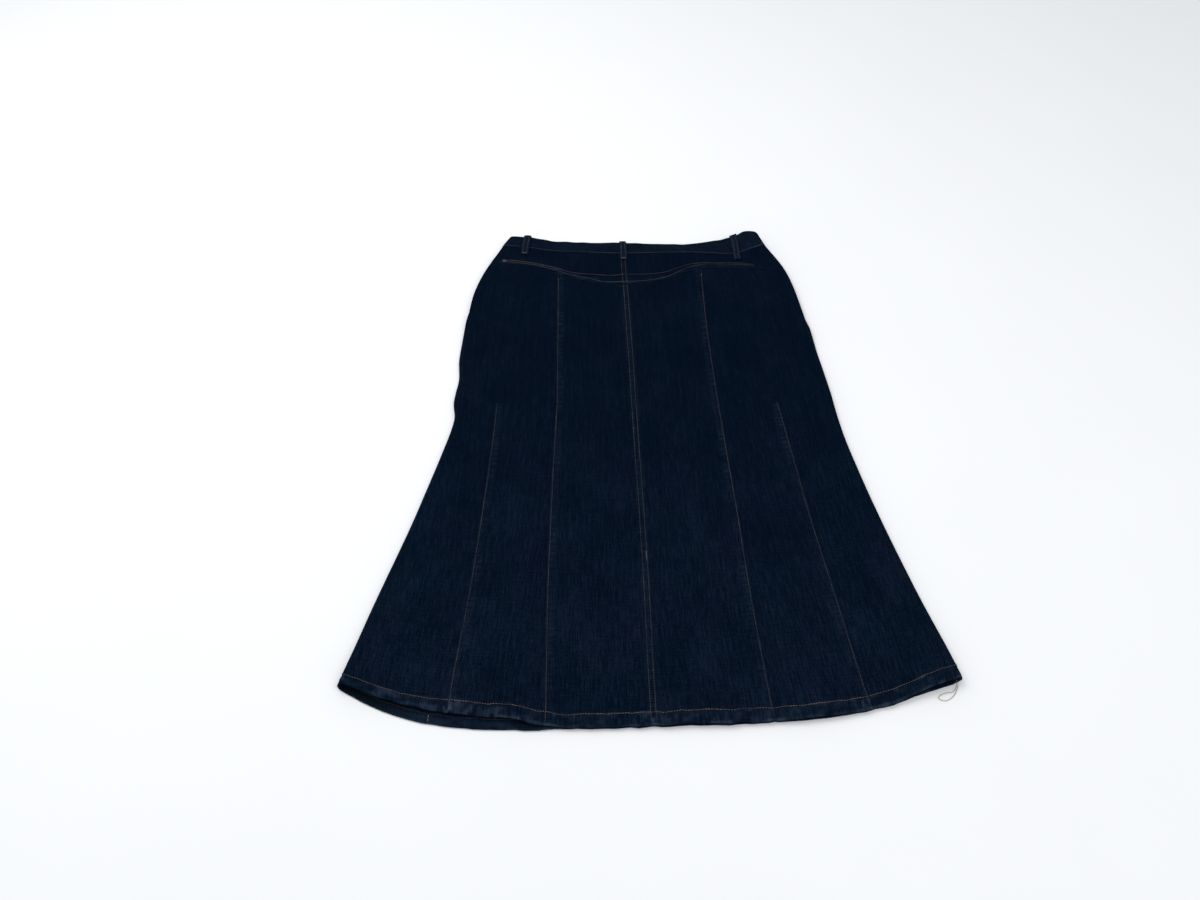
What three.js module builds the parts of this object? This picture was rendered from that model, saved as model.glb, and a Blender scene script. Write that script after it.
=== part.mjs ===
import * as THREE from 'three';

// A long flared denim skirt, laid flat with its back side up. Millimetres: x to its right, y from the hem
// to the waist, z up from the surface that it lies on. "Along" counts from the middle of the hem and
// "across" from the middle of the skirt, both seen from above.

// Driving dimensions
const plan = { middleAlong: 446, yokeEndAlong: 800, waistSeamAlong: 850, waistTopAlong: 890 };
const startAcross = 150;
const cloth = { thickness: 1.2, seamGap: 0.3 };
const hem = { thickness: 2.6, depth: 17, step: 3 };
const band = { thickness: 3, proud: 0.8, frontSeam: 808, frontTop: 842, dipEnds: 0.58, rollPower: 1.6 };
const frontLift = { height: 2.8, startsBelowWaist: 75, endsBelowWaist: 20 };
const loopStrap = { width: 12, thickness: 1.6, clearance: 0.4, bow: 1.8, frontBow: 1.2, tack: 6, hook: 2.4 };
const button = { radius: 8.5, edge: 1.2, shankRadius: 3.4, rimHeight: 1.8, fullHeight: 2.5, fromEdge: 14 };
const zip = { width: 30, length: 160, thickness: 1.5, teethWidth: 6, teethHeight: 0.5, belowWaist: 4 };
const sideRise = { left: 60, right: 56 };
const sideReach = 45;

// How far the folded side and the seams of each half of the back lie from the middle, up the skirt.
const sideLines = {
  left: [
    { along: 0, fold: 396, gore: 243, princess: 127 },
    { along: 60, fold: 379, gore: 239.5, princess: 126 },
    { along: 180, fold: 343, gore: 226, princess: 124.5 },
    { along: 300, fold: 307, gore: 215, princess: 120.5 },
    { along: 420, fold: 274.5, gore: 205.5, princess: 115.5 },
    { along: 480, fold: 261.5, gore: 202, princess: 112.5 },
    { along: 515, fold: 264, gore: 200.5, princess: 111 },
    { along: 560, fold: 258.5, gore: 198, princess: 110.5 },
    { along: 600, fold: 260.5, gore: 197, princess: 110 },
    { along: 650, fold: 257, gore: 195, princess: 109.5 },
    { along: 740, fold: 248.5, gore: 188, princess: 108.5 },
    { along: 790, fold: 235, gore: 178, princess: 108 },
    { along: 850, fold: 208, gore: 158, princess: 107 },
    { along: 890, fold: 190, gore: 150, princess: 106 },
  ],
  right: [
    { along: 0, fold: 392, gore: 262, princess: 144 },
    { along: 60, fold: 379, gore: 255, princess: 140.5 },
    { along: 180, fold: 350, gore: 243.5, princess: 136 },
    { along: 300, fold: 325, gore: 231.5, princess: 134 },
    { along: 420, fold: 306, gore: 222.5, princess: 130.5 },
    { along: 480, fold: 301, gore: 218, princess: 129 },
    { along: 515, fold: 299.5, gore: 215, princess: 128 },
    { along: 560, fold: 296, gore: 212, princess: 127.5 },
    { along: 600, fold: 292, gore: 209, princess: 127 },
    { along: 650, fold: 288, gore: 206, princess: 126.5 },
    { along: 740, fold: 279.5, gore: 199, princess: 128 },
    { along: 790, fold: 269.5, gore: 190, princess: 129.5 },
    { along: 850, fold: 245, gore: 175, princess: 131 },
    { along: 890, fold: 232, gore: 168, princess: 131 },
  ],
};

// The back's centre seam, and how high the back lies in its middle and at its folded sides.
const middleLines = [
  { along: 0, centre: 1, height: 6.4, foldHeight: 10 },
  { along: 60, centre: 1.5, height: 5.2, foldHeight: 10 },
  { along: 180, centre: 3, height: 4.6, foldHeight: 9.5 },
  { along: 300, centre: 3.5, height: 4.4, foldHeight: 9 },
  { along: 420, centre: 3, height: 4.4, foldHeight: 9 },
  { along: 560, centre: 3, height: 4.8, foldHeight: 9.5 },
  { along: 600, centre: 3, height: 5, foldHeight: 9.5 },
  { along: 650, centre: 2.5, height: 5.6, foldHeight: 10 },
  { along: 740, centre: 2, height: 7.6, foldHeight: 11 },
  { along: 790, centre: 1, height: 9.4, foldHeight: 12 },
  { along: 850, centre: 0.5, height: 11, foldHeight: 13 },
  { along: 890, centre: 0.5, height: 11, foldHeight: 14 },
];

// The back's yoke line, its waist seam and the top edge of its waistband, from the left fold to the right.
const waistLines = [
  { across: -205, yoke: 815, seam: 858, top: 890, topHeight: 9 },
  { across: -160, yoke: 810, seam: 852, top: 884, topHeight: 8 },
  { across: -115, yoke: 797, seam: 843, top: 874, topHeight: 7 },
  { across: -75, yoke: 776, seam: 840, top: 873, topHeight: 6 },
  { across: -37, yoke: 765, seam: 836, top: 871, topHeight: 5.5 },
  { across: 0, yoke: 763, seam: 833.5, top: 870, topHeight: 5.5 },
  { across: 40, yoke: 765, seam: 833.5, top: 867, topHeight: 5.5 },
  { across: 75, yoke: 773, seam: 834, top: 865, topHeight: 5 },
  { across: 115, yoke: 791, seam: 833.5, top: 864, topHeight: 5 },
  { across: 150, yoke: 796, seam: 830, top: 866, topHeight: 8 },
  { across: 190, yoke: 794, seam: 827, top: 870, topHeight: 14 },
  { across: 215, yoke: 790, seam: 836, top: 879, topHeight: 18 },
  { across: 245, yoke: 786, seam: 849, top: 878, topHeight: 16 },
];

// How far the side seams lie from the sides' folds, on the back.
const sideSeams = [
  { along: 0, left: 4, right: 4 },
  { along: 600, left: 4, right: 4 },
  { along: 680, left: 8, right: 12 },
  { along: 780, left: 21, right: 34 },
  { along: 815, left: 25, right: 42 },
  { along: 860, left: 26, right: 34 },
  { along: 895, left: 26, right: 30 },
];

// The largest soft folds of the back: a lift, or a hollow where it is negative.
const folds = [
  { across: -345, along: 58, reachAcross: 40, reachAlong: 60, lift: 5.5 },
  { across: -255, along: 25, reachAcross: 50, reachAlong: 75, lift: 3.5 },
  { across: -166, along: 40, reachAcross: 34, reachAlong: 50, lift: 7 },
  { across: 60, along: 20, reachAcross: 55, reachAlong: 90, lift: 2 },
  { across: 200, along: 30, reachAcross: 45, reachAlong: 90, lift: 3 },
  { across: 345, along: 60, reachAcross: 42, reachAlong: 60, lift: 6.5 },
  { across: -238, along: 560, reachAcross: 14, reachAlong: 45, lift: -3 },
  { across: -232, along: 500, reachAcross: 20, reachAlong: 35, lift: 3 },
  { across: 250, along: 400, reachAcross: 25, reachAlong: 120, lift: 2.5 },
  { across: -160, along: 260, reachAcross: 30, reachAlong: 130, lift: 2 },
  { across: 185, along: 210, reachAcross: 28, reachAlong: 130, lift: 2 },
];

// The back's hem is drawn up from the front's at the left and a little at the right.
const hemPulls = [
  { from: -420, full: -230, fades: -190, gone: -95, pull: 12.5 },
  { from: 300, full: 345, fades: 380, gone: 400, pull: 1.5 },
];
// Its right corner hangs a little lower than the left one.
const cornerDip = { from: 325, full: 380, drop: 8 };
const hemPullReach = 180;

const gorePoints = { left: 508, right: 498 };
const frontGoreSpread = 0.1;
const frontCentre = 2;
const foldPlace = 3.6;

// The lean is how far a loop's top stands to the right of its foot.
const beltLoops = [
  { name: 'belt_loop_back_left', onBack: true, across: -162.5, lean: 6.5, belowSeam: 16 },
  { name: 'belt_loop_back_centre', onBack: true, across: 2, lean: 0.5, belowSeam: 14 },
  { name: 'belt_loop_back_right', onBack: true, across: 192.5, lean: -2.5, belowSeam: 14 },
  { name: 'belt_loop_front_left', onBack: false, across: -88, lean: 0, belowSeam: 14 },
  { name: 'belt_loop_front_right', onBack: false, across: 94, lean: 0, belowSeam: 14 },
];

const denim = { color: 0x141f33, roughness: 0.92, metalness: 0 };
const brass = { color: 0xa8803f, roughness: 0.4, metalness: 0.9 };
const zipTape = { color: 0x10141c, roughness: 0.85, metalness: 0.1 };

const clamp = THREE.MathUtils.clamp;
const lerp = THREE.MathUtils.lerp;
const smooth = THREE.MathUtils.smoothstep;

// A column of a table at a place along its key, on a smooth curve through the rows.
function read(table, key, column, at) {
  const place = clamp(at, table[0][key], table[table.length - 1][key]);
  let i = 0;
  while (i < table.length - 2 && place > table[i + 1][key]) {
    i += 1;
  }
  const slope = (k) => {
    const before = table[Math.max(k - 1, 0)];
    const after = table[Math.min(k + 1, table.length - 1)];
    return (after[column] - before[column]) / (after[key] - before[key]);
  };
  const width = table[i + 1][key] - table[i][key];
  const s = (place - table[i][key]) / width;
  const hold = (1 + 2 * s) * (1 - s) * (1 - s);
  return hold * table[i][column] + (1 - hold) * table[i + 1][column]
    + s * (1 - s) * (1 - s) * width * slope(i) - s * s * (1 - s) * width * slope(i + 1);
}

const sideName = (side) => (side < 0 ? 'left' : 'right');
const sideLine = (side, column, along) => read(sideLines[sideName(side)], 'along', column, along);
const middleLine = (column, along) => read(middleLines, 'along', column, along);
const waistLine = (column, across) => read(waistLines, 'across', column, across);
const seamFromFold = (side, along) => read(sideSeams, 'along', sideName(side), along);
const foldAcross = (side, along) => sideLine(side, 'fold', along);

// 0 at the skirt's middle and 1 at its folded side.
function shareOut(across, along) {
  return clamp(Math.abs(across) / foldAcross(Math.sign(across) || 1, along), 0, 1);
}

function hemAlong(across, onBack) {
  const full = sideRise[sideName(across)];
  const dip = cornerDip.drop * smooth(across, cornerDip.from, cornerDip.full);
  const rise = full * shareOut(across, full) ** 4 - dip;
  let pull = 0;
  if (onBack) {
    for (const row of hemPulls) {
      pull += row.pull * smooth(across, row.from, row.full) * (1 - smooth(across, row.fades, row.gone));
    }
  }
  return rise + pull;
}

// The front's waist dips below the back's: level in its middle, and up to the back's at the folded sides.
function frontDip(column, middle, across, along) {
  const side = Math.sign(across) || 1;
  const end = waistLine(column, side * foldAcross(side, along));
  return lerp(middle, end, smooth(shareOut(across, along), band.dipEnds, 1));
}

const frontWaistAlong = (across) => frontDip('seam', band.frontSeam, across, plan.waistSeamAlong);
const frontTopAlong = (across) => frontDip('top', band.frontTop, across, plan.waistTopAlong);

// How high the back's outer face lies.
function backHeight(across, along) {
  const side = Math.sign(across) || 1;
  const foldHeight = middleLine('foldHeight', along);
  const inward = Math.max(foldAcross(side, along) - foldHeight / 2 - Math.abs(across), 0);
  let height = lerp(middleLine('height', along), foldHeight, Math.exp(-((inward / sideReach) ** 2)));
  for (const fold of folds) {
    const dx = (across - fold.across) / fold.reachAcross;
    const dy = (along - fold.along) / fold.reachAlong;
    height += fold.lift * Math.exp(-dx * dx - dy * dy);
  }
  return height;
}

// How high the front's outer face lies: on the surface, but lifted by the button and loops at the waist.
function frontHeight(across, along) {
  const below = frontWaistAlong(across) - along;
  return frontLift.height * smooth(-below, -frontLift.startsBelowWaist, -frontLift.endsBelowWaist);
}

// How high the waistband's outer face lies on the back, from 0 at its seam to 1 at its top edge.
function bandHeight(across, share) {
  const seamHeight = backHeight(across, waistLine('seam', across)) + band.proud;
  return lerp(seamHeight, waistLine('topHeight', across), share ** band.rollPower);
}

// Rows run up the skirt: 0 is the hem, 1 the yoke line, 2 the waist seam, and the waistband's own rows go
// from 3 at its seam to 4 at its top edge.
function alongBack(across, row) {
  const yoke = waistLine('yoke', across);
  const seam = waistLine('seam', across);
  if (row >= 3) {
    return lerp(seam, waistLine('top', across), row - 3);
  }
  if (row >= 1) {
    return lerp(yoke, seam, row - 1);
  }
  const hemLine = hemAlong(across, true);
  const pulled = lerp(hemLine, yoke, row);
  const plain = lerp(hemAlong(across, false), yoke, row);
  return lerp(pulled, plain, smooth(plain, hemLine, hemLine + hemPullReach));
}

// The yoke line's share of the way up the side seam, so that rows run level from the back onto the front.
function yokeShare(side) {
  const across = side * (foldAcross(side, plan.yokeEndAlong) - seamFromFold(side, plan.yokeEndAlong));
  const start = hemAlong(across, false);
  return (waistLine('yoke', across) - start) / (waistLine('seam', across) - start);
}

const yokeShares = { left: yokeShare(-1), right: yokeShare(1) };
const centreReach = 100;

function alongFront(across, row) {
  if (row >= 3) {
    return lerp(frontWaistAlong(across), frontTopAlong(across), row - 3);
  }
  const yoke = lerp(yokeShares.left, yokeShares.right, smooth(across, -centreReach, centreReach));
  const share = row < 1 ? row * yoke : lerp(yoke, 1, row - 1);
  return lerp(hemAlong(across, false), frontWaistAlong(across), share);
}

function heights(across, along, row) {
  if (row >= 3) {
    return { top: bandHeight(across, row - 3), bottom: frontLift.height };
  }
  return { top: backHeight(across, along), bottom: frontHeight(across, along) };
}

// A place around one half of the skirt: 0 is the back's centre, 1 its princess seam, 2 its gore seam, 3 the
// side seam, 3.6 the fold, 4 the foot of the folded side, 5 the front's gore seam, 6 its princess seam and 7
// its centre.
function flatAcross(side, place, along) {
  const centre = middleLine('centre', along);
  const princess = side * sideLine(side, 'princess', along);
  const gore = side * sideLine(side, 'gore', along);
  const frontGore = gore * (1 + frontGoreSpread * (1 - smooth(along, 0, gorePoints[sideName(side)])));
  if (place <= 1) {
    return lerp(centre, princess, place);
  }
  if (place <= 2) {
    return lerp(princess, gore, place - 1);
  }
  if (place >= 6) {
    return lerp(princess, frontCentre, place - 6);
  }
  return lerp(frontGore, princess, place - 5);
}

// The distance from the fold's outermost line, around the folded side: more than 0 on the back.
function foldDistance(side, place, along, arc, flat) {
  const seam = seamFromFold(side, along);
  if (place <= 3) {
    return lerp(seam, flat + arc, (3 - place) ** 2);
  }
  const knots = [seam, Math.min(0.7 * seam, arc), Math.min(0.35 * seam, arc / 2), 0, -arc / 2, -arc];
  const step = (place - 3) * (knots.length - 1);
  const k = clamp(Math.floor(step), 0, knots.length - 2);
  return lerp(knots[k], knots[k + 1], step - k);
}

// A point of the skirt's outer face.
function outerPoint(side, place, row) {
  const onFold = place > 2 && place < 5;
  const onBack = place < foldPlace;
  let across = side * startAcross;
  let along = 0;
  let height = 0;
  for (let pass = 0; pass < 6; pass += 1) {
    along = onBack ? alongBack(across, row) : alongFront(across, row);
    if (!onFold) {
      across = flatAcross(side, place, along);
      const level = heights(across, along, row);
      height = onBack ? level.top : level.bottom;
      continue;
    }
    const fold = foldAcross(side, along);
    const atFold = heights(side * (fold - middleLine('foldHeight', along) / 2), along, row);
    const radius = (atFold.top - atFold.bottom) / 2;
    const arc = radius * Math.PI / 2;
    const flat = fold - radius - Math.abs(flatAcross(side, 2, along));
    let distance = 0;
    if (place <= 4) {
      distance = foldDistance(side, place, along, arc, flat);
    } else {
      const frontGore = Math.abs(flatAcross(side, 5, along));
      distance = -lerp(arc, arc + fold - radius - frontGore, place - 4);
    }
    if (Math.abs(distance) < arc) {
      const turn = distance / radius;
      across = side * (fold - radius + radius * Math.cos(turn));
      height = atFold.bottom + radius + radius * Math.sin(turn);
    } else {
      across = side * (fold - radius - (Math.abs(distance) - arc));
      const level = heights(across, along, row);
      height = distance > 0 ? level.top : level.bottom;
    }
  }
  return new THREE.Vector3(across, along - plan.middleAlong, height);
}

// The point a small step further round the skirt, over its centre lines onto the other half too.
function roundPoint(side, place, row) {
  if (place < 0) {
    return outerPoint(-side, -place, row);
  }
  return place > 7 ? outerPoint(-side, 14 - place, row) : outerPoint(side, place, row);
}

// Directions of the outer face at a place: on around the skirt, up it and out of it. Pieces that meet at a
// seam share them, so that their edges lie side by side.
function directions(side, place, row) {
  const nudge = 0.004;
  const around = roundPoint(side, place + nudge, row)
    .sub(roundPoint(side, place - nudge, row)).multiplyScalar(side).normalize();
  const onSeam = row === 2 || row === 3;
  const upper = onSeam ? 3 : row;
  const lower = onSeam ? 2 : row;
  const up = new THREE.Vector3();
  if (upper < 4) {
    up.add(outerPoint(side, place, upper + nudge).sub(outerPoint(side, place, upper)).normalize());
  }
  if (lower > 0) {
    up.add(outerPoint(side, place, lower).sub(outerPoint(side, place, lower - nudge)).normalize());
  }
  up.normalize();
  const out = new THREE.Vector3().crossVectors(around, up).normalize();
  if (onSeam) {
    out.setY(0).normalize();
  }
  return { around, up, out };
}

// The cloth is thicker where it is turned up at the hem, and thickest in the waistband.
function thicknessAt(side, place, row) {
  if (row >= 3) {
    return band.thickness;
  }
  const point = outerPoint(side, place, row);
  const above = point.y + plan.middleAlong - hemAlong(point.x, place < foldPlace);
  return lerp(hem.thickness, cloth.thickness, clamp((above - hem.depth) / hem.step, 0, 1));
}

// One closed wall from a grid of cells, each a list of four corners: every corner is a pair of points, on
// the outer and on the inner face. Edges that only one cell has are closed by a rim.
function wallGeometry(corners, cells) {
  const positions = [];
  for (const corner of corners) {
    positions.push(...corner.outer.toArray(), ...corner.inner.toArray());
  }
  const index = [];
  const outside = (corner) => 2 * corner;
  const inside = (corner) => 2 * corner + 1;
  const edges = new Set();
  for (const [a, b, c, d] of cells) {
    index.push(outside(a), outside(b), outside(c), outside(a), outside(c), outside(d));
    index.push(inside(a), inside(c), inside(b), inside(a), inside(d), inside(c));
    for (const edge of [[a, b], [b, c], [c, d], [d, a]]) {
      edges.add(edge.join());
    }
  }
  for (const edge of edges) {
    const [from, to] = edge.split(',').map(Number);
    if (!edges.has([to, from].join())) {
      index.push(outside(to), outside(from), inside(from), outside(to), inside(from), inside(to));
    }
  }
  const geometry = new THREE.BufferGeometry();
  geometry.setAttribute('position', new THREE.Float32BufferAttribute(positions, 3));
  geometry.setIndex(index);
  geometry.computeVertexNormals();
  return geometry;
}

// The cells of a plain grid of corners, row after row.
function gridCells(rowCount, columnCount) {
  const cells = [];
  for (let i = 0; i < rowCount - 1; i += 1) {
    for (let j = 0; j < columnCount - 1; j += 1) {
      const a = i * columnCount + j;
      cells.push([a, a + 1, a + columnCount + 1, a + columnCount]);
    }
  }
  return cells;
}

// A sewn piece between columns of places around the skirt and rows up it. Its columns run to the right on
// the back. A cut is a seam inside the piece, from the hem up to the row where it starts.
function clothPiece(columns, rows, cut = null) {
  const corners = [];
  const numbers = new Map();
  const rowSpan = [rows[0], rows[rows.length - 1]];
  const sewnBelow = rowSpan[0] > 0 ? 1 : 0;
  const sewnAbove = rowSpan[1] < 4 ? 1 : 0;
  const corner = (i, j, beyondCut) => {
    const { side, place } = columns[j];
    const onCut = cut !== null && place === cut.place && rows[i] < cut.row;
    const key = [i, j, onCut && beyondCut].join();
    if (!numbers.has(key)) {
      const inward = (k, count) => (k === 0 ? 1 : 0) - (k === count - 1 ? 1 : 0);
      const shift = onCut ? (beyondCut ? 1 : -1) : inward(j, columns.length);
      const lift = inward(i, rows.length) * (i === 0 ? sewnBelow : sewnAbove);
      const face = directions(side, place, rows[i]);
      const outer = outerPoint(side, place, rows[i])
        .addScaledVector(face.around, shift * cloth.seamGap / 2)
        .addScaledVector(face.up, lift * cloth.seamGap / 2);
      outer.z = Math.max(outer.z, 0);
      const inner = outer.clone().addScaledVector(face.out, -thicknessAt(side, place, rows[i]));
      numbers.set(key, corners.push({ outer, inner }) - 1);
    }
    return numbers.get(key);
  };
  const cells = [];
  for (let i = 0; i < rows.length - 1; i += 1) {
    for (let j = 0; j < columns.length - 1; j += 1) {
      const lower = [corner(i, j, true), corner(i, j + 1, false)];
      const upper = [corner(i + 1, j + 1, false), corner(i + 1, j, true)];
      cells.push([...lower, ...upper]);
    }
  }
  return wallGeometry(corners, cells);
}

// The way of a belt loop's inner face up the skirt: tacked below the waist seam, clear of the waistband, and
// hooked over the band's top edge.
function loopPath(loop, across) {
  const { clearance, tack, hook } = loopStrap;
  const sign = loop.onBack ? 1 : -1;
  const seam = loop.onBack ? waistLine('seam', across) : frontWaistAlong(across);
  const top = loop.onBack ? waistLine('top', across) : frontTopAlong(across);
  const bodyHeight = loop.onBack ? backHeight : frontHeight;
  const overBand = (share) => (loop.onBack ? bandHeight(across, share) : frontLift.height);
  const bow = loop.onBack ? loopStrap.bow : loopStrap.frontBow;
  const foot = seam - loop.belowSeam;
  const path = [foot, foot + tack].map((along) => [along, bodyHeight(across, along) + sign * clearance]);
  for (const share of [0.1, 0.4, 0.7]) {
    path.push([lerp(seam, top, share), overBand(share) + sign * bow]);
  }
  path.push([top + clearance, overBand(1) + sign * clearance]);
  path.push([top + clearance, overBand(1) - sign * hook]);
  return path.map(([along, height]) => new THREE.Vector2(along, height));
}

function beltLoop(loop) {
  const sign = loop.onBack ? 1 : -1;
  const corners = [];
  const acrossSteps = steps(-sign * loopStrap.width / 2, sign * loopStrap.width / 2, 2);
  const rowCount = loopPath(loop, loop.across).length;
  for (let i = 0; i < rowCount; i += 1) {
    for (const offset of acrossSteps) {
      const across = loop.across + offset + loop.lean * (i / (rowCount - 1) - 0.5);
      const path = loopPath(loop, across);
      const ahead = path[Math.min(i + 1, rowCount - 1)].clone().sub(path[i]).normalize();
      const behind = path[i].clone().sub(path[Math.max(i - 1, 0)]).normalize();
      const run = ahead.add(behind).normalize();
      const out = new THREE.Vector2(-run.y, run.x);
      const outer = path[i].clone().addScaledVector(out, sign * loopStrap.thickness);
      corners.push({
        outer: new THREE.Vector3(across, outer.x - plan.middleAlong, outer.y),
        inner: new THREE.Vector3(across, path[i].x - plan.middleAlong, path[i].y),
      });
    }
  }
  return wallGeometry(corners, gridCells(rowCount, acrossSteps.length));
}

// The closed zip on the inner face of the front's centre seam: two tapes and the raised row of teeth.
function zipStrip(rows) {
  const seam = frontWaistAlong(frontCentre);
  const ends = rows.map((row) => alongFront(frontCentre, row)).filter((along) => along > seam - zip.length);
  ends[ends.length - 1] -= zip.belowWaist;
  const offsets = [-zip.width / 2, -zip.teethWidth / 2, 0, zip.teethWidth / 2, zip.width / 2];
  const corners = [];
  for (const along of ends) {
    for (const offset of offsets) {
      const under = frontHeight(frontCentre, along) + cloth.thickness + cloth.seamGap;
      const over = under + zip.thickness + (offset === 0 ? zip.teethHeight : 0);
      const x = frontCentre + offset;
      const y = along - plan.middleAlong;
      corners.push({ outer: new THREE.Vector3(x, y, over), inner: new THREE.Vector3(x, y, under) });
    }
  }
  return wallGeometry(corners, gridCells(ends.length, offsets.length));
}

function buttonShape() {
  const { radius, edge, shankRadius, rimHeight, fullHeight } = button;
  const profile = [[0, 0], [radius - edge, 0], [radius, rimHeight / 2], [radius - edge / 2, rimHeight],
    [shankRadius, rimHeight], [shankRadius, fullHeight], [0, fullHeight]];
  return new THREE.LatheGeometry(profile.map(([r, z]) => new THREE.Vector2(r, z)), 20).rotateX(Math.PI / 2);
}

// Evenly shared numbers from one to another.
function steps(from, to, count) {
  return Array.from({ length: count + 1 }, (_, k) => lerp(from, to, k / count));
}

// Rows up to the yoke line: close at the turned-up hem, then even on both sides of the gore seams' points.
function bodyRows(side) {
  const pointAlong = gorePoints[sideName(side)];
  const across = side * sideLine(side, 'gore', pointAlong);
  const start = hemAlong(across, false);
  const rowAt = (above) => above / (waistLine('yoke', across) - start);
  const point = rowAt(pointAlong - start);
  const rows = [0, rowAt(hem.depth), ...steps(rowAt(hem.depth + hem.step), point, 11)];
  return { point, rows: [...rows, ...steps(point, 1, 8).slice(1)] };
}

// The columns of a piece from one place around the skirt to another, in the order that runs to the right
// on the back.
function columnsOf(side, places) {
  const columns = places.map((place) => ({ side, place }));
  return side < 0 ? columns.reverse() : columns;
}

const parts = new THREE.Group();

function add(name, geometry, finish) {
  const mesh = new THREE.Mesh(geometry, new THREE.MeshStandardMaterial(finish));
  mesh.name = name;
  parts.add(mesh);
  return mesh;
}

const backCentrePlaces = steps(0, 1, 5);
const backSidePlaces = [...steps(1, 2, 4), ...steps(2, 3, 6).slice(1)];
const wrapPlaces = [...steps(3, 4, 5), ...steps(4, 5, 3).slice(1), ...steps(5, 6, 3).slice(1)];
const frontCentrePlaces = steps(6, 7, 3);
const halfRound = [...backCentrePlaces, ...backSidePlaces.slice(1), ...wrapPlaces.slice(1),
  ...frontCentrePlaces.slice(1)];

for (const [name, side] of [['left', -1], ['right', 1]]) {
  const body = bodyRows(side);
  const toWaist = [...body.rows, ...steps(1, 2, 3).slice(1)];
  const yokePlaces = [...backCentrePlaces, ...backSidePlaces.slice(1)];
  add('back_centre_' + name, clothPiece(columnsOf(side, backCentrePlaces), body.rows), denim);
  add('back_side_' + name, clothPiece(columnsOf(side, backSidePlaces), body.rows,
    { place: 2, row: body.point }), denim);
  add('back_yoke_' + name, clothPiece(columnsOf(side, yokePlaces), steps(1, 2, 3)), denim);
  add('front_side_' + name, clothPiece(columnsOf(side, wrapPlaces), toWaist,
    { place: 5, row: body.point }), denim);
  add('front_centre_' + name, clothPiece(columnsOf(side, frontCentrePlaces), toWaist), denim);
  // Each half of the waistband runs round its side, from the back's centre seam to the front's.
  add('waistband_' + name, clothPiece(columnsOf(side, halfRound), steps(3, 4, 3)), denim);
}

for (const loop of beltLoops) {
  add(loop.name, beltLoop(loop), denim);
}

add('zip', zipStrip([...bodyRows(1).rows, ...steps(1, 2, 3).slice(1)]), zipTape);

const buttonAcross = frontCentre + button.fromEdge;
const buttonAlong = (band.frontSeam + band.frontTop) / 2;
add('button', buttonShape(), brass).position.set(buttonAcross, buttonAlong - plan.middleAlong, 0);

export default parts;
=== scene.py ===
import math
import bpy
import numpy as np
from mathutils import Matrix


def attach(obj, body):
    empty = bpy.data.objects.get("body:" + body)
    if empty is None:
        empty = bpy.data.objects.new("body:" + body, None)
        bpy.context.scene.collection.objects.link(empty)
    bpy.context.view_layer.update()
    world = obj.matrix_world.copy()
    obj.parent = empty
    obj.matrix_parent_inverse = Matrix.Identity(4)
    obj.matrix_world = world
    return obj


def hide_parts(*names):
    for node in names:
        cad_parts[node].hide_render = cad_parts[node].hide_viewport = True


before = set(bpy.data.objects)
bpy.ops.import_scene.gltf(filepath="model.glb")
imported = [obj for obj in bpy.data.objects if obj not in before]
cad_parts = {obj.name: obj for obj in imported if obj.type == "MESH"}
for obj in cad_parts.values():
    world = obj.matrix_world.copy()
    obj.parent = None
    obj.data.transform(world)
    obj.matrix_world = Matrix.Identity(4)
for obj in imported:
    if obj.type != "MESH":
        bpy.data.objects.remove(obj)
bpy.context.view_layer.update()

# A long flared denim skirt laid flat, back side up. Tables are in millimetres: "along" counts up the skirt
# from the middle of its hem, "across" from its middle to its right. Meshes are made in metres.

# camera and light; the floor is made at the end

view = {"place": (-0.077, -0.9234, 1.1286), "below": 51.5, "turn": -1.72, "lens": 30}
light = {"sky": 0.70, "skyColour": (0.93, 0.96, 1, 1), "keyPower": 21, "keySize": 1.5,
         "keyPlace": (-1.1, 0.7, 1.9), "fillPower": 8.5, "fillSize": 1.4, "fillPlace": (1.2, -0.8, 1.9)}

scene = bpy.context.scene
scene.view_settings.view_transform = "Standard"

cameraData = bpy.data.cameras.new("camera")
cameraData.lens = view["lens"]
cameraData.clip_start = 0.01
camera = bpy.data.objects.new("camera", cameraData)
camera.location = view["place"]
camera.rotation_euler = (math.radians(90 - view["below"]), 0, math.radians(view["turn"]))
scene.collection.objects.link(camera)
scene.camera = camera

sky = bpy.data.worlds.new("sky")
sky.use_nodes = True
sky.node_tree.nodes["Background"].inputs["Color"].default_value = light["skyColour"]
sky.node_tree.nodes["Background"].inputs["Strength"].default_value = light["sky"]
scene.world = sky


def softLamp(name, place, size, power):
    lampData = bpy.data.lights.new(name, "AREA")
    lampData.shape = "DISK"
    lampData.size = size
    lampData.energy = power
    lamp = bpy.data.objects.new(name, lampData)
    lamp.location = place
    # a lamp shines along its own -Z, so its +Z points away from the skirt
    x, y, z = place
    lamp.rotation_euler = (math.atan2(math.hypot(x, y), z), 0, math.atan2(x, -y))
    scene.collection.objects.link(lamp)


softLamp("keyLamp", light["keyPlace"], light["keySize"], light["keyPower"])
softLamp("fillLamp", light["fillPlace"], light["fillSize"], light["fillPower"])
print("camera and lights are set")

# the skirt's cut and how it lies: the same values and formulas as the solids have

plan = {"middleAlong": 446, "bodyLength": 780, "yokeEndAlong": 800, "waistSeamAlong": 850,
        "waistTopAlong": 890, "startAcross": 150, "hemPullReach": 180, "frontGoreSpread": 0.1,
        "frontCentre": 2, "foldPlace": 3.6, "centreReach": 100, "sideReach": 45}
band = {"width": 36, "proud": 0.8, "frontSeam": 808, "frontTop": 842, "dipEnds": 0.58, "rollPower": 1.6}
frontLift = {"height": 2.8, "startsBelowWaist": 75, "endsBelowWaist": 20}
gorePoints = {"left": 508, "right": 498}
hemEnds = {"left": 60, "right": 56}

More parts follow.
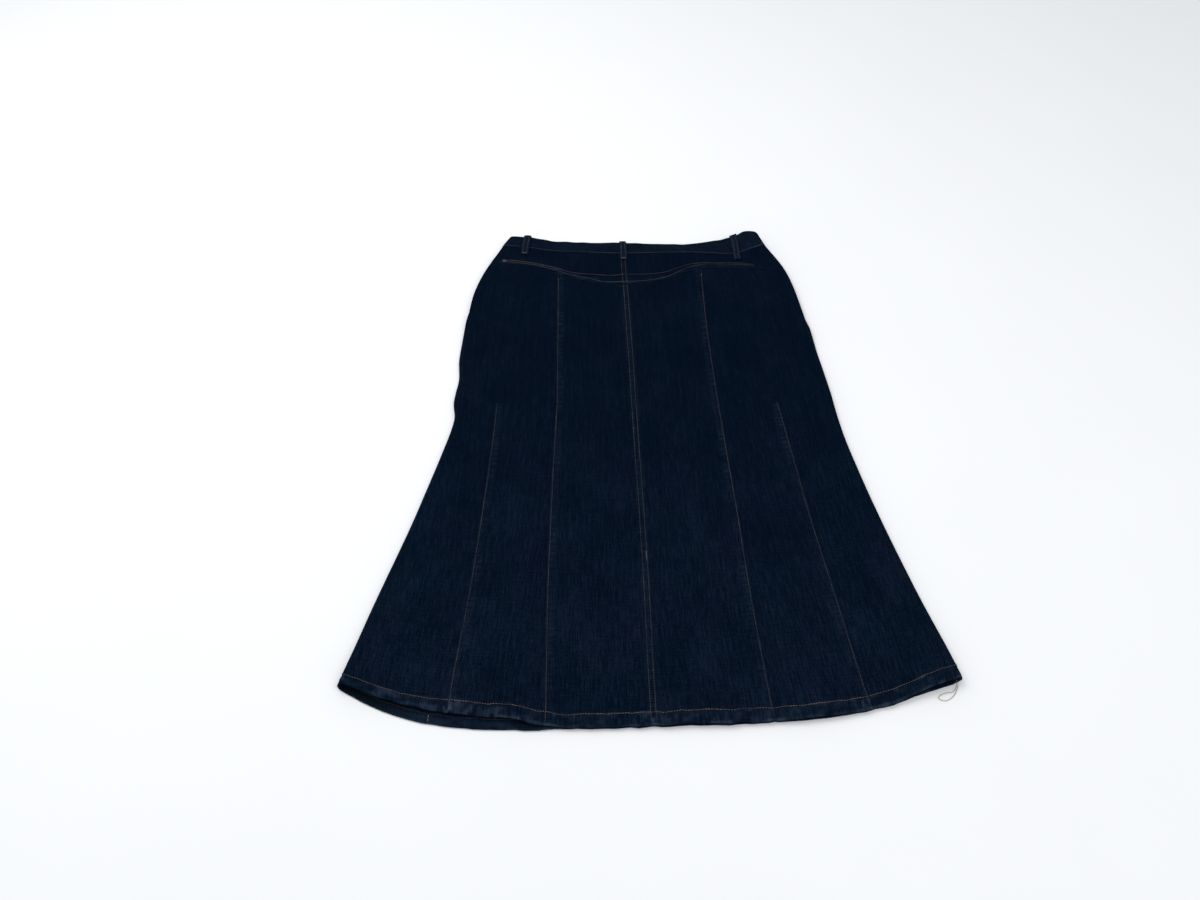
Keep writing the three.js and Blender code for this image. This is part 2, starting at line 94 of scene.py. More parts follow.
sideAlong = [0, 60, 180, 300, 420, 480, 515, 560, 600, 650, 740, 790, 850, 890]
leftLines = {
    "along":    sideAlong,
    "fold":     [396, 379, 343, 307, 274.5, 261.5, 264, 258.5, 260.5, 257, 248.5, 235, 208, 190],
    "gore":     [243, 239.5, 226, 215, 205.5, 202, 200.5, 198, 197, 195, 188, 178, 158, 150],
    "princess": [127, 126, 124.5, 120.5, 115.5, 112.5, 111, 110.5, 110, 109.5, 108.5, 108, 107, 106],
}
rightLines = {
    "along":    sideAlong,
    "fold":     [386, 376, 349, 325, 306, 301, 299.5, 296, 292, 288, 279.5, 269.5, 245, 232],
    "gore":     [262, 255, 243.5, 231.5, 222.5, 218, 215, 212, 209, 206, 199, 190, 175, 168],
    "princess": [144, 140.5, 136, 134, 130.5, 129, 128, 127.5, 127, 126.5, 128, 129.5, 131, 131],
}
middleLines = {
    "along":      [0, 60, 180, 300, 420, 560, 600, 650, 740, 790, 850, 890],
    "centre":     [1, 1.5, 3, 3.5, 3, 3, 3, 2.5, 2, 1, 0.5, 0.5],
    "height":     [6.4, 5.2, 4.6, 4.4, 4.4, 4.8, 5, 5.6, 7.6, 9.4, 11, 11],
    "foldHeight": [10, 10, 9.5, 9, 9, 9.5, 9.5, 10, 11, 12, 13, 14],
}
waistLines = {
    "across":    [-205, -160, -115, -75, -37, 0, 40, 75, 115, 150, 190, 215, 245],
    "yoke":      [815, 810, 797, 776, 765, 763, 765, 773, 791, 796, 794, 790, 786],
    "seam":      [858, 852, 843, 840, 836, 833.5, 833.5, 834, 833.5, 830, 827, 836, 849],
    "top":       [890, 886.5, 876, 873, 871, 870, 867, 865, 864, 866, 870, 879, 878],
    "topHeight": [9, 8, 7, 6, 5.5, 5.5, 5.5, 5, 5, 8, 14, 18, 16],
}
sideSeams = {
    "along": [0, 600, 680, 780, 815, 860, 895],
    "left":  [4, 4, 8, 21, 25, 26, 26],
    "right": [4, 4, 12, 34, 42, 34, 30],
}
# across, along, reachAcross, reachAlong, lift
folds = [(-345, 58, 40, 60, 5.5), (-255, 25, 50, 75, 3.5), (-166, 40, 34, 50, 7), (60, 20, 55, 90, 2),
         (200, 30, 45, 90, 3), (345, 60, 42, 60, 6.5), (-238, 560, 14, 45, -3), (-232, 500, 20, 35, 3),
         (250, 400, 25, 120, 2.5), (-160, 260, 30, 130, 2), (185, 210, 28, 130, 2)]
# from, full, fades, gone, pull
hemPulls = [(-420, -230, -190, -95, 12.5), (300, 345, 380, 400, 1.5), (-372, -335, -215, -188, 1.9)]
hemRoll = {"full": -290, "gone": -245, "edge": 3.6}
cornerDip = {"from": 325, "full": 380, "drop": 8}
leftDip = {"across": -255, "reach": 95, "drop": 2.6}
bandEdge = {"wave": 1.5, "spacing": 13, "bump": -97, "bumpReach": 9}


def lerp(a, b, t):
    return a + (b - a) * t


def smooth(x, low, high):
    t = np.clip((x - low) / (high - low), 0, 1)
    return t * t * (3 - 2 * t)


def peak(x, reach):
    return np.exp(-(x / reach) ** 2)


def read(table, key, column, at):
    keys, values = np.array(table[key], float), np.array(table[column], float)
    at = np.clip(at, keys[0], keys[-1])
    i = np.clip(np.searchsorted(keys, at) - 1, 0, len(keys) - 2)
    k = np.arange(len(keys))
    before, after = np.maximum(k - 1, 0), np.minimum(k + 1, len(keys) - 1)
    slope = (values[after] - values[before]) / (keys[after] - keys[before])
    width = keys[i + 1] - keys[i]
    s = (at - keys[i]) / width
    hold = (1 + 2 * s) * (1 - s) ** 2
    return (hold * values[i] + (1 - hold) * values[i + 1]
            + s * (1 - s) ** 2 * width * slope[i] - s * s * (1 - s) * width * slope[i + 1])


def sideLine(side, column, along):
    left = read(leftLines, "along", column, along)
    right = read(rightLines, "along", column, along)
    return np.where(np.asarray(side) < 0, left, right)


def middleLine(column, along):
    return read(middleLines, "along", column, along)


def waistLine(column, across):
    return read(waistLines, "across", column, across)


def sideOf(across):
    return np.where(np.asarray(across) < 0, -1, 1)


def bySide(table, side):
    return np.where(np.asarray(side) < 0, table["left"], table["right"])


def seamInset(side, along):
    return read(sideSeams, "along", "left" if side < 0 else "right", along)


def shareOut(across, along):
    return np.clip(np.abs(across) / sideLine(sideOf(across), "fold", along), 0, 1)


def hemAlong(across, onBack):
    full = bySide(hemEnds, across)
    rise = full * shareOut(across, full) ** 4
    rise = rise - cornerDip["drop"] * smooth(across, cornerDip["from"], cornerDip["full"])
    rise = rise - leftDip["drop"] * peak(across - leftDip["across"], leftDip["reach"])
    pull = 0
    for start, most, fades, gone, height in hemPulls:
        pull = pull + height * smooth(across, start, most) * (1 - smooth(across, fades, gone))
    return rise + np.where(onBack, pull, 0)


def aboveHem(point, onBack):
    return point[..., 1] - hemAlong(point[..., 0], onBack)


def frontDip(column, middle, across, along):
    side = sideOf(across)
    end = waistLine(column, side * sideLine(side, "fold", along))
    return lerp(middle, end, smooth(shareOut(across, along), band["dipEnds"], 1))


def frontWaistAlong(across):
    return frontDip("seam", band["frontSeam"], across, plan["waistSeamAlong"])


def frontTopAlong(across):
    return frontDip("top", band["frontTop"], across, plan["waistTopAlong"])


def backHeight(across, along):
    side = sideOf(across)
    foldHeight = middleLine("foldHeight", along)
    inward = np.maximum(sideLine(side, "fold", along) - foldHeight / 2 - np.abs(across), 0)
    height = lerp(middleLine("height", along), foldHeight, peak(inward, plan["sideReach"]))
    for x, y, reachAcross, reachAlong, lift in folds:
        height = height + lift * np.exp(-((across - x) / reachAcross) ** 2 - ((along - y) / reachAlong) ** 2)
    return height


def frontHeight(across, along):
    below = frontWaistAlong(across) - along
    return frontLift["height"] * smooth(-below, -frontLift["startsBelowWaist"], -frontLift["endsBelowWaist"])


def bandHeight(across, share):
    seamHeight = backHeight(across, waistLine("seam", across)) + band["proud"]
    return lerp(seamHeight, waistLine("topHeight", across), np.clip(share, 0, 1) ** band["rollPower"])


def alongBack(across, row):
    yoke, seam = waistLine("yoke", across), waistLine("seam", across)
    hemLine = hemAlong(across, True)
    plain = lerp(hemAlong(across, False), yoke, row)
    below = lerp(lerp(hemLine, yoke, row), plain, smooth(plain, hemLine, hemLine + plan["hemPullReach"]))
    inYoke = lerp(yoke, seam, row - 1)
    inBand = lerp(seam, waistLine("top", across), row - 3)
    return np.where(row >= 3, inBand, np.where(row >= 1, inYoke, below))


def yokeShare(side):
    end = plan["yokeEndAlong"]
    across = side * (sideLine(side, "fold", end) - seamInset(side, end))
    start = hemAlong(across, False)
    return (waistLine("yoke", across) - start) / (waistLine("seam", across) - start)


yokeShares = (yokeShare(-1), yokeShare(1))


def alongFront(across, row):
    yoke = lerp(yokeShares[0], yokeShares[1], smooth(across, -plan["centreReach"], plan["centreReach"]))
    share = np.where(row < 1, row * yoke, lerp(yoke, 1, row - 1))
    body = lerp(hemAlong(across, False), frontWaistAlong(across), share)
    return np.where(row >= 3, lerp(frontWaistAlong(across), frontTopAlong(across), row - 3), body)


def heights(across, along, row):
    top = np.where(row >= 3, bandHeight(across, row - 3), backHeight(across, along))
    bottom = np.where(row >= 3, frontLift["height"], frontHeight(across, along))
    return top, bottom


# Places around one half: 0 is the back's centre, 1 its princess seam, 2 its gore seam, 3 the side seam,
# 3.6 the fold, 4 the foot of the fold, 5 the front's gore seam, 6 its princess seam and 7 its centre.
def flatAcross(side, place, along):
    centre = middleLine("centre", along)
    princess = side * sideLine(side, "princess", along)
    gore = side * sideLine(side, "gore", along)
    frontGore = gore * (1 + plan["frontGoreSpread"] * (1 - smooth(along, 0, bySide(gorePoints, side))))
    onFront = np.where(place >= 6, lerp(princess, plan["frontCentre"], place - 6),
                       lerp(frontGore, princess, place - 5))
    return np.where(place <= 1, lerp(centre, princess, place),
                    np.where(place <= 2, lerp(princess, gore, place - 1), onFront))


def foldDistance(side, place, along, arc, flat):
    seam = seamInset(side, along)
    knots = np.stack([seam, np.minimum(0.7 * seam, arc), np.minimum(0.35 * seam, arc / 2),
                      0 * arc, -arc / 2, -arc])
    step = np.clip((place - 3) * 5, 0, 5)
    k = np.clip(np.floor(step).astype(int), 0, 4)
    low = np.take_along_axis(knots, k[None], 0)[0]
    high = np.take_along_axis(knots, k[None] + 1, 0)[0]
    return np.where(place <= 3, lerp(seam, flat + arc, (3 - place) ** 2), lerp(low, high, step - k))


def outerPoint(side, place, row):
    onFold = (place > 2) & (place < 5)
    onBack = place < plan["foldPlace"]
    across = np.full(place.shape, side * plan["startAcross"], float)
    for _ in range(6):
        along = np.where(onBack, alongBack(across, row), alongFront(across, row))
        flatX = flatAcross(side, place, along)
        fold = sideLine(side, "fold", along)
        top, bottom = heights(side * (fold - middleLine("foldHeight", along) / 2), along, row)
        radius = (top - bottom) / 2
        arc = radius * math.pi / 2
        flat = fold - radius - np.abs(flatAcross(side, np.full(place.shape, 2.0), along))
        frontGore = np.abs(flatAcross(side, np.full(place.shape, 5.0), along))
        distance = np.where(place <= 4, foldDistance(side, place, along, arc, flat),
                            -lerp(arc, arc + fold - radius - frontGore, place - 4))
        turning = onFold & (np.abs(distance) < arc)
        turn = np.clip(distance / radius, -math.pi / 2, math.pi / 2)
        turnX = side * (fold - radius + radius * np.cos(turn))
        runX = side * (fold - radius - (np.abs(distance) - arc))
        across = np.where(turning, turnX, np.where(onFold, runX, flatX))
        turnZ = bottom + radius + radius * np.sin(turn)
        top, bottom = heights(across, along, row)
        level = np.where(np.where(onFold, distance > 0, onBack), top, bottom)
        height = np.where(turning, turnZ, level)
    return np.stack([across, along, height], -1)


def roundPoint(side, place, row):
    here = outerPoint(side, np.clip(place, 0, 7), row)
    beyond = (place < 0) | (place > 7)
    if beyond.any():
        other = outerPoint(-side, np.clip(np.where(place < 0, -place, 14 - place), 0, 7), row)
        here = np.where(beyond[..., None], other, here)
    return here


def unit(v):
    return v / np.maximum(np.linalg.norm(v, axis=-1, keepdims=True), 1e-9)


# Directions of the outer face: on around the skirt, up it and out of it.
def directions(side, place, row):
    nudge = 0.004
    around = unit((roundPoint(side, place + nudge, row) - roundPoint(side, place - nudge, row)) * side)
    onSeam = (row == 2) | (row == 3)
    upper, lower = np.where(onSeam, 3.0, row), np.where(onSeam, 2.0, row)
    above = unit(outerPoint(side, place, upper + nudge) - outerPoint(side, place, upper))
    below = unit(outerPoint(side, place, lower) - outerPoint(side, place, lower - nudge))
    up = unit(np.where((upper < 4)[..., None], above, 0) + np.where((lower > 0)[..., None], below, 0))
    out = unit(np.cross(around, up))
    level = unit(out * np.array([1, 0, 1]))
    return around, up, np.where(onSeam[..., None], level, out)


# the cloth's own relief: lapped seams, puckers, creases and soft unevenness

cloth = {"thickness": 0.8, "hemThickness": 2.2, "hemDepth": 17, "bandThickness": 2.4, "edgeRound": 0.42}
seams = {"rise": 0.55, "dip": -0.35, "princessLap": 1.6, "centreLap": 4.8, "under": 8, "yokeUnder": 7,
         "tuck": 6, "allowance": 10, "reach": 30, "puckerHeight": 0.2, "puckerSpacing": 11, "edgeTurn": 0.45,
         "tuckTurn": 0.95, "yokeStarts": (-224, -214), "yokeEnds": (237, 246)}
seamSeeds = {"centre": 1.3, "princess": 2.7, "gore": 4.1, "yoke": 5.9}
lines = {"twin": 3.175, "hem": 15.6, "frontHem": 11.4, "bandFoot": 2.6}
# across, along, height, seed
softWaves = [(75, 95, 0.38, 11), (31, 42, 0.16, 12), (11, 15, 0.05, 13)]
hemShape = {"roping": 0.22, "ropeSpacing": 15, "ropeLean": 0.8, "turnUp": 0.35, "stitchDip": 0.25,
            "edgeRoll": 0.5, "waves": 0.5, "leftCrumple": 2.6, "leftEnds": (-190, -130),
            "rightCrumple": 1.2, "rightStarts": (280, 320)}
bandShape = {"ripple": 0.16, "rippleSpacing": 10.5, "waves": 0.3, "stitchDip": 0.3, "topRound": 0.6,
             "footRound": 0.3}
frontShape = {"sag": 0.25, "seamDip": 0.3, "bandSag": 0.2}

# from (across, along) to (across, along), half width, height, bend: soft troughs are negative
backCreases = [
    (-250, 690, -150, 640, 16, 0.6, 6), (-255, 600, -170, 590, 13, 0.4, -5),
    (-262, 540, -190, 470, 12, 0.7, 6), (-235, 455, -150, 420, 15, -0.5, 8),
    (270, 730, 160, 690, 17, 0.6, -7), (285, 660, 190, 640, 14, -0.4, 5), (150, 735, 40, 700, 18, 0.4, 6),
    (20, 690, 110, 640, 20, -0.3, -6), (-30, 600, -110, 560, 22, 0.3, 5), (60, 560, 130, 505, 20, 0.3, 8),
    (210, 560, 290, 520, 15, 0.4, -5), (-60, 420, -20, 250, 22, 0.5, 9), (70, 360, 100, 190, 20, 0.6, -8),
    (-175, 380, -190, 200, 16, 0.7, 7), (-300, 250, -345, 120, 20, 1.0, 6),
    (300, 280, 340, 130, 20, 0.9, -6), (-90, 190, -75, 60, 18, 0.7, 5), (165, 150, 172, 40, 14, 0.8, -4),
    (250, 130, 268, 35, 15, -0.8, 4), (-215, 120, -225, 35, 14, 0.7, 4), (30, 130, 22, 30, 14, -0.6, 3),
    (20, 28, 105, 25, 7, -1.6, 2), (-330, 66, -250, 42, 7, -0.9, -3), (-290, 80, -200, 60, 9, 0.7, 4),
    (185, 806, 250, 770, 9, 0.6, 4), (120, 822, 190, 812, 8, -0.3, 3), (-190, 838, -120, 815, 9, 0.3, -3),
]
frontCreases = [
    (-240, 700, -120, 640, 18, -0.5, 8), (250, 690, 130, 650, 18, -0.5, -8),
    (-200, 480, -80, 420, 22, -0.4, 6), (190, 500, 90, 430, 22, -0.4, -6),
    (-250, 330, -300, 150, 22, -0.5, 6), (260, 320, 310, 160, 22, -0.5, -6),
    (-60, 300, -40, 120, 24, -0.4, 5), (80, 260, 110, 90, 22, -0.4, -5), (10, 640, 30, 520, 24, -0.4, 6),
]


def scatter(i, j, seed):
    value = np.sin(i * 127.1 + j * 311.7 + seed * 74.7) * 43758.5453
    return value - np.floor(value)


# soft noise from -1 to 1
def unevenness(x, y, seed):
    i, j = np.floor(x), np.floor(y)
    u, v = smooth(x - i, 0, 1), smooth(y - j, 0, 1)
    low = lerp(scatter(i, j, seed), scatter(i + 1, j, seed), u)
    high = lerp(scatter(i, j + 1, seed), scatter(i + 1, j + 1, seed), u)
    return 2 * lerp(low, high, v) - 1


def creased(across, along, creases):
    total = np.zeros(np.shape(across))
    for k, (x0, y0, x1, y1, width, height, bend) in enumerate(creases):
        length = math.hypot(x1 - x0, y1 - y0)
        dx, dy = (x1 - x0) / length, (y1 - y0) / length
        t = ((across - x0) * dx + (along - y0) * dy) / length
        off = (across - x0) * -dy + (along - y0) * dx - bend * 4 * t * (1 - t)
        spread = width * (1 + 0.35 * unevenness(t * 3, k * 1.7, 5))
        shape = peak(off, spread) * (1 - 0.5 * (off / spread) ** 2)
        ends = smooth(t, -0.25, 0.3) * (1 - smooth(t, 0.7, 1.25))
        total += height * shape * ends * (1 + 0.4 * unevenness(t * 4, k * 2.3, 9))
    return total


# one lapped seam: s is the distance in from the upper layer's edge, and negative on the lower layer
def lapped(s, alongSeam, seed, strength=1.0):
    over = seams["rise"] * (1 - smooth(s, seams["allowance"] - 0.5, seams["allowance"] + 4))
    under = seams["dip"] * (1 - smooth(-s, 0.3, 3.6))
    beat = alongSeam / seams["puckerSpacing"] + 0.8 * unevenness(alongSeam / 45, seed, seed)
    lean = s / 14
    depth = seams["puckerHeight"] * (0.65 + 0.5 * unevenness(alongSeam / 30, seed * 2, seed + 3))
    ripple = depth * np.sin(2 * math.pi * (beat + lean)) * peak(np.abs(s - 2), 8)
    return strength * (np.where(s > 0, over, under) + ripple * np.where(s > 0, 1, 0.6))


def held(s, side):
    # keeps a layer's own edge strip on its own side of the seam
    return np.maximum(s, 0.02) if side == "over" else np.minimum(s, -0.02) if side == "under" else s


# how far in from each upper layer's edge a point of the back lies
def seamDistances(across, along):
    side, x, lap = sideOf(across), np.abs(across), seams["princessLap"]
    return {"centre": middleLine("centre", along) + seams["centreLap"] - across,
            "princess": sideLine(side, "princess", along) + lap - x,
            "gore": sideLine(side, "gore", along) + lap - x,
            "yoke": along - waistLine("yoke", across)}


def seamRelief(across, along, hold, body, inBand):
    s = seamDistances(across, along)
    princess = held(s["princess"], hold.get("princess"))
    goreTop = bySide(gorePoints, across)
    goreOn = 1 - smooth(along, goreTop - 6, goreTop + 10)
    yokeOn = smooth(across, *seams["yokeStarts"]) * (1 - smooth(across, *seams["yokeEnds"]))
    relief = lapped(held(s["centre"], hold.get("centre")), along, seamSeeds["centre"]) * ~inBand
    lap = lapped(princess, along, seamSeeds["princess"])
    relief = relief + lap * body * (np.abs(princess) < seams["reach"])
    lap = lapped(s["gore"], along, seamSeeds["gore"]) * goreOn
    relief = relief + lap * body * (np.abs(s["gore"]) < seams["reach"])
    yoke = lapped(held(s["yoke"], hold.get("yoke")), across, seamSeeds["yoke"])
    return relief + np.where(inBand, 0, yoke) * yokeOn


# the hem is turned up twice and pulls a little along its stitching
def hemRelief(across, above):
    wander = 0.7 * unevenness(across / 40, 0, 21)
    turns = (across + hemShape["ropeLean"] * above) / hemShape["ropeSpacing"] + wander
    roping = hemShape["roping"] * np.sin(2 * math.pi * turns)
    hemOn = 1 - smooth(above, 15, 20)
    turnUp = hemShape["turnUp"] * (1 - smooth(above, cloth["hemDepth"], cloth["hemDepth"] + 2.5))
    turnUp = turnUp - hemShape["stitchDip"] * peak(above - lines["hem"], 1.3)
    edgeRoll = hemShape["edgeRoll"] * (1 - smooth(above, 0, 2.2))
    crumple = 1 + hemShape["leftCrumple"] * (1 - smooth(across, *hemShape["leftEnds"]))
    crumple = crumple + hemShape["rightCrumple"] * smooth(across, *hemShape["rightStarts"])
    uneven = 0.55 + 0.45 * unevenness(across / 60, 0, 22)
    relief = hemOn * roping * crumple * uneven + turnUp - edgeRoll
    return relief + hemShape["waves"] * hemOn * crumple ** 0.5 * unevenness(across / 26, above / 14, 23)


# the waistband is drawn in a little along its foot
def bandRelief(across, share):
    up = share * band["width"]
    wander = 0.8 * unevenness(across / 37, 0, 31)
    ripple = bandShape["ripple"] * np.sin(2 * math.pi * (across / bandShape["rippleSpacing"] + wander))
    waves = bandShape["waves"] * unevenness(across / 22, share * 2.5, 32) * smooth(share, 0.1, 0.5)
    relief = ripple * peak(up - 2, 6) + waves
    relief = relief - bandShape["stitchDip"] * peak(up - lines["bandFoot"], 1.2)
    relief = relief - bandShape["topRound"] * smooth(share, 0.94, 1)
    return relief - bandShape["footRound"] * (1 - smooth(share, 0, 0.03))


# the front lies on the floor, so its relief only lifts it
def frontRelief(across, along, share, hold, inBand):
    princess = held(seamDistances(across, along)["princess"], hold.get("frontPrincess"))
    sag = frontShape["sag"] * (1 + unevenness(across / 60, along / 80, 41))
    relief = creased(across, along, frontCreases) - sag
    relief = relief - frontShape["seamDip"] * peak(princess + 1, 2.2) * ~inBand
    relief = relief - frontShape["seamDip"] * peak(across - plan["frontCentre"], 2)
    bandSag = frontShape["bandSag"] * (1 + unevenness(across / 25, share * 2, 42))
    return np.where(inBand, -bandSag, np.minimum(relief, 0))


def reliefAt(point, row, backShare, hold):
    across, along = point[..., 0], point[..., 1]
    inBand = row > 2.5
    body = ~inBand & (row <= 1) & (hold.get("yoke") != "over")
    share = np.clip(row - 3, 0, 1)
    back = seamRelief(across, along, hold, body, inBand)
    back = back + creased(across, along, backCreases) * ~inBand
    for x, y, height, seed in softWaves:
        back = back + height * unevenness(across / x, along / y, seed)
    back = back + np.where(body, hemRelief(across, aboveHem(point, backShare > 0.5)), 0)
    back = np.where(inBand, bandRelief(across, share), back)
    return lerp(frontRelief(across, along, share, hold, inBand), back, backShare)


def thicknessAt(point, row, onBack):
    single = smooth(aboveHem(point, onBack), cloth["hemDepth"], cloth["hemDepth"] + 1.5)
    body = lerp(cloth["hemThickness"], cloth["thickness"], single)
    return np.where(row >= 3, cloth["bandThickness"], body)


# how far the ragged or rolled edge of the hem, or the waistband's wavy top edge, moves up the skirt
def edgeShift(point, place, row, onBack):
    across, above = point[..., 0], aboveHem(point, onBack)
    ragged = 0.9 * unevenness(across / 15, 0, 81) + 0.5 * unevenness(across / 6, 0, 82)
    rolled = hemRoll["edge"] * (1 - smooth(across, hemRoll["full"], hemRoll["gone"])) * onBack
    rolled = rolled * smooth(-place, -3, -2.7) * np.clip(1 - above / lines["hem"], 0, 1) * (row < 1)
    bump = peak(across - bandEdge["bump"], bandEdge["bumpReach"])
    wavy = bandEdge["wave"] * (unevenness(across / bandEdge["spacing"], 0, 83) + bump)
    return np.where(row > 2.5, wavy * smooth(row, 3.6, 4), ragged * (1 - smooth(above, 3, 28)) + rolled)


# A point of the dressed cloth. goAcross and goUp are distances beyond a place, around and up the skirt.
def clothPoint(side, place, row, goAcross=0.0, goUp=0.0, hold=None):
    place, row = np.broadcast_arrays(np.asarray(place, float), np.asarray(row, float))
    point = outerPoint(side, place, row)
    around, up, out = directions(side, place, row)
    goAcross = np.broadcast_to(np.asarray(goAcross, float), place.shape)[..., None]
    goUp = np.broadcast_to(np.asarray(goUp, float), place.shape)[..., None]
    point = point + around * goAcross + up * goUp
    backShare = smooth(out[..., 2], -0.6, 0.6)
    point = point + up * edgeShift(point, place, row, backShare > 0.5)[..., None]
    relief = reliefAt(point, row, backShare, hold or {})
    return point + out * relief[..., None], out, backShare, relief


def surfaceAt(side, place, row, goAcross=0.0, hold=None):
    return clothPoint(side, place, row, goAcross, 0, hold)[:2]


# sewn pieces as thin shells with rounded edges


def toMetres(points):
    return (points - np.array([0, plan["middleAlong"], 0])) / 1000


def newPiece(name, points, faces, values, grain=None, replaced=None):
    points[:, 2] = np.maximum(points[:, 2], 0)
    mesh = bpy.data.meshes.new(name)
    mesh.from_pydata(toMetres(points).tolist(), [], faces)
    if grain is not None:
        corners = np.empty(len(mesh.loops), int)
        mesh.loops.foreach_get("vertex_index", corners)
        mesh.uv_layers.new(name="grain").data.foreach_set("uv", (grain / 1000)[corners].ravel())
    for key, value in values.items():
        mesh.attributes.new(key, "FLOAT", "POINT").data.foreach_set("value", value)
    for polygon in mesh.polygons:
        polygon.use_smooth = True
    piece = bpy.data.objects.new(name, mesh)
    scene.collection.objects.link(piece)
    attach(piece, "root")
    if replaced:
        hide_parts(replaced)
    return piece


def shellPiece(name, outer, out, thick, grain, worn, inside, creaseShadeAndWear):
    rows, columns = outer.shape[:2]
    count = rows * columns
    inner = outer - out * thick[..., None]
    number = np.arange(count).reshape(rows, columns)
    loop = np.concatenate([number[0, :-1], number[:-1, -1], number[-1, :0:-1], number[:0:-1, 0]])
    # the rim bulges away from the piece, as a folded edge does
    outward = np.zeros(outer.shape)
    outward[0] += unit(outer[0] - outer[1])
    outward[-1] += unit(outer[-1] - outer[-2])
    outward[:, 0] += unit(outer[:, 0] - outer[:, 1])
    outward[:, -1] += unit(outer[:, -1] - outer[:, -2])
    flatten = lambda grid: grid.reshape(count, -1)
    bulge = flatten(unit(outward)) * cloth["edgeRound"] * flatten(thick)
    rim = ((flatten(outer) + flatten(inner)) / 2 + bulge)[loop]
    points = np.concatenate([flatten(outer), flatten(inner), rim])
    a = number[:-1, :-1].ravel()
    cells = np.stack([a, a + 1, a + columns + 1, a + columns], 1)
    middle = 2 * count + np.arange(len(loop))
    after, middleAfter = np.roll(loop, -1), np.roll(middle, -1)
    faces = np.concatenate([
        cells, cells[:, ::-1] + count,
        np.stack([after, loop, middle, middleAfter], 1),
        np.stack([middleAfter, middle, loop + count, after + count], 1)])
    grain = flatten(grain)
    grain = np.concatenate([grain, grain, grain[loop]])
    worn, inside, creaseShadeAndWear = worn.ravel(), inside.ravel(), creaseShadeAndWear.ravel()
    # on the inner face the inside value brings in the dark inside colour and holds back wear: the wrong side
    # above the turned hem, darkened as painted shade in the hollow between the layers, with the painted shade
    # near the left corner; the rim takes a little of it
    values = {"worn": [worn, worn * (0.6 - 0.1 * inside), worn[loop]],
              "inside": [0 * inside, inside, 0.3 * inside[loop]],
              "creaseShadeAndWear": [creaseShadeAndWear, 0 * creaseShadeAndWear, creaseShadeAndWear[loop]]}
    values = {key: np.concatenate(value) for key, value in values.items()}
    return newPiece(name + "_cloth", points, faces.tolist(), values, grain, name)


# even marks between 0 and a length, with closer ones at the distances given
def marksAlong(length, spacing, close):
    even = np.linspace(0, length, max(int(length / spacing), 2) + 1)
    close = np.array([c for c in close if 0 <= c <= length])
    if len(close):
        even = [m for m in even if np.abs(close - m).min() > 0.45 * spacing or m in (0, length)]
    marks = np.unique(np.round(np.concatenate([even, close]), 3))
    keep = [marks[0]]
    for mark in marks[1:]:
        if mark - keep[-1] > 0.2:
            keep.append(mark)
    keep[-1] = length
    return np.array(keep)


def marksOn(way, fine, spacing, near):
    length = np.concatenate([[0], np.cumsum(np.linalg.norm(np.diff(way, axis=0), axis=1))])
    close = [float(np.interp(at, fine, length)) + offset for at, offsets in near for offset in offsets]
    marks = marksAlong(length[-1], spacing, close)
    return np.interp(marks, length, fine), marks, length[-1]


fineSteps = 900
plainSteps = [0, 0.5, 1.2, 2.2, 3.6]
overSteps = [0, 0.5, 1.2, 2.2, 3.4, 5, 7, 9.5]
underSteps = [0, 0.7, 1.3, 1.8, 2.5, 3.6, 5]
goreSteps = [-9, -6, -4, -2.4, -1.2, -0.3, 0.6, 1.25, 1.6, 1.95, 2.6, 3.6, 5, 8]
hemSteps = [0, 0.4, 1, 2, 3.4, 5.5, 8, 11, 13.4, 14.8, 15.6, 16.4, 17.2, 18, 19, 20.5]
edgeSteps = {"over": overSteps, "under": underSteps}
beyond = {"over": lambda lap: [0.5 * lap, lap], "under": lambda lap: [1.8, 0.5 * lap, lap],
          "butt": lambda lap: [], "tuck": lambda lap: [0.6, 2.5, lap]}

# how far the dye is rubbed off along seams, at the hem and on the waistband; the strip along the waistband's
# top edge is rubbed wear and a painted rim highlight
wear = {"seam": 0.30, "seamReach": 1.6, "lowerReach": 0.7, "ladder": 0.40, "ladderPlace": 6, "ladderReach": 5,
        "rung": 9, "crossingReach": 9, "crossing": 1.1, "hemReach": 1.8, "hemFades": (16, 19),
        "leftMottle": 0.3, "leftUpTo": -150, "band": 0.05, "bandTopWearAndHighlight": 0.30, "bandReach": 2, "relief": 0.05,
        "yokeStarts": (-214, -200), "yokeEnds": (206, 218)}


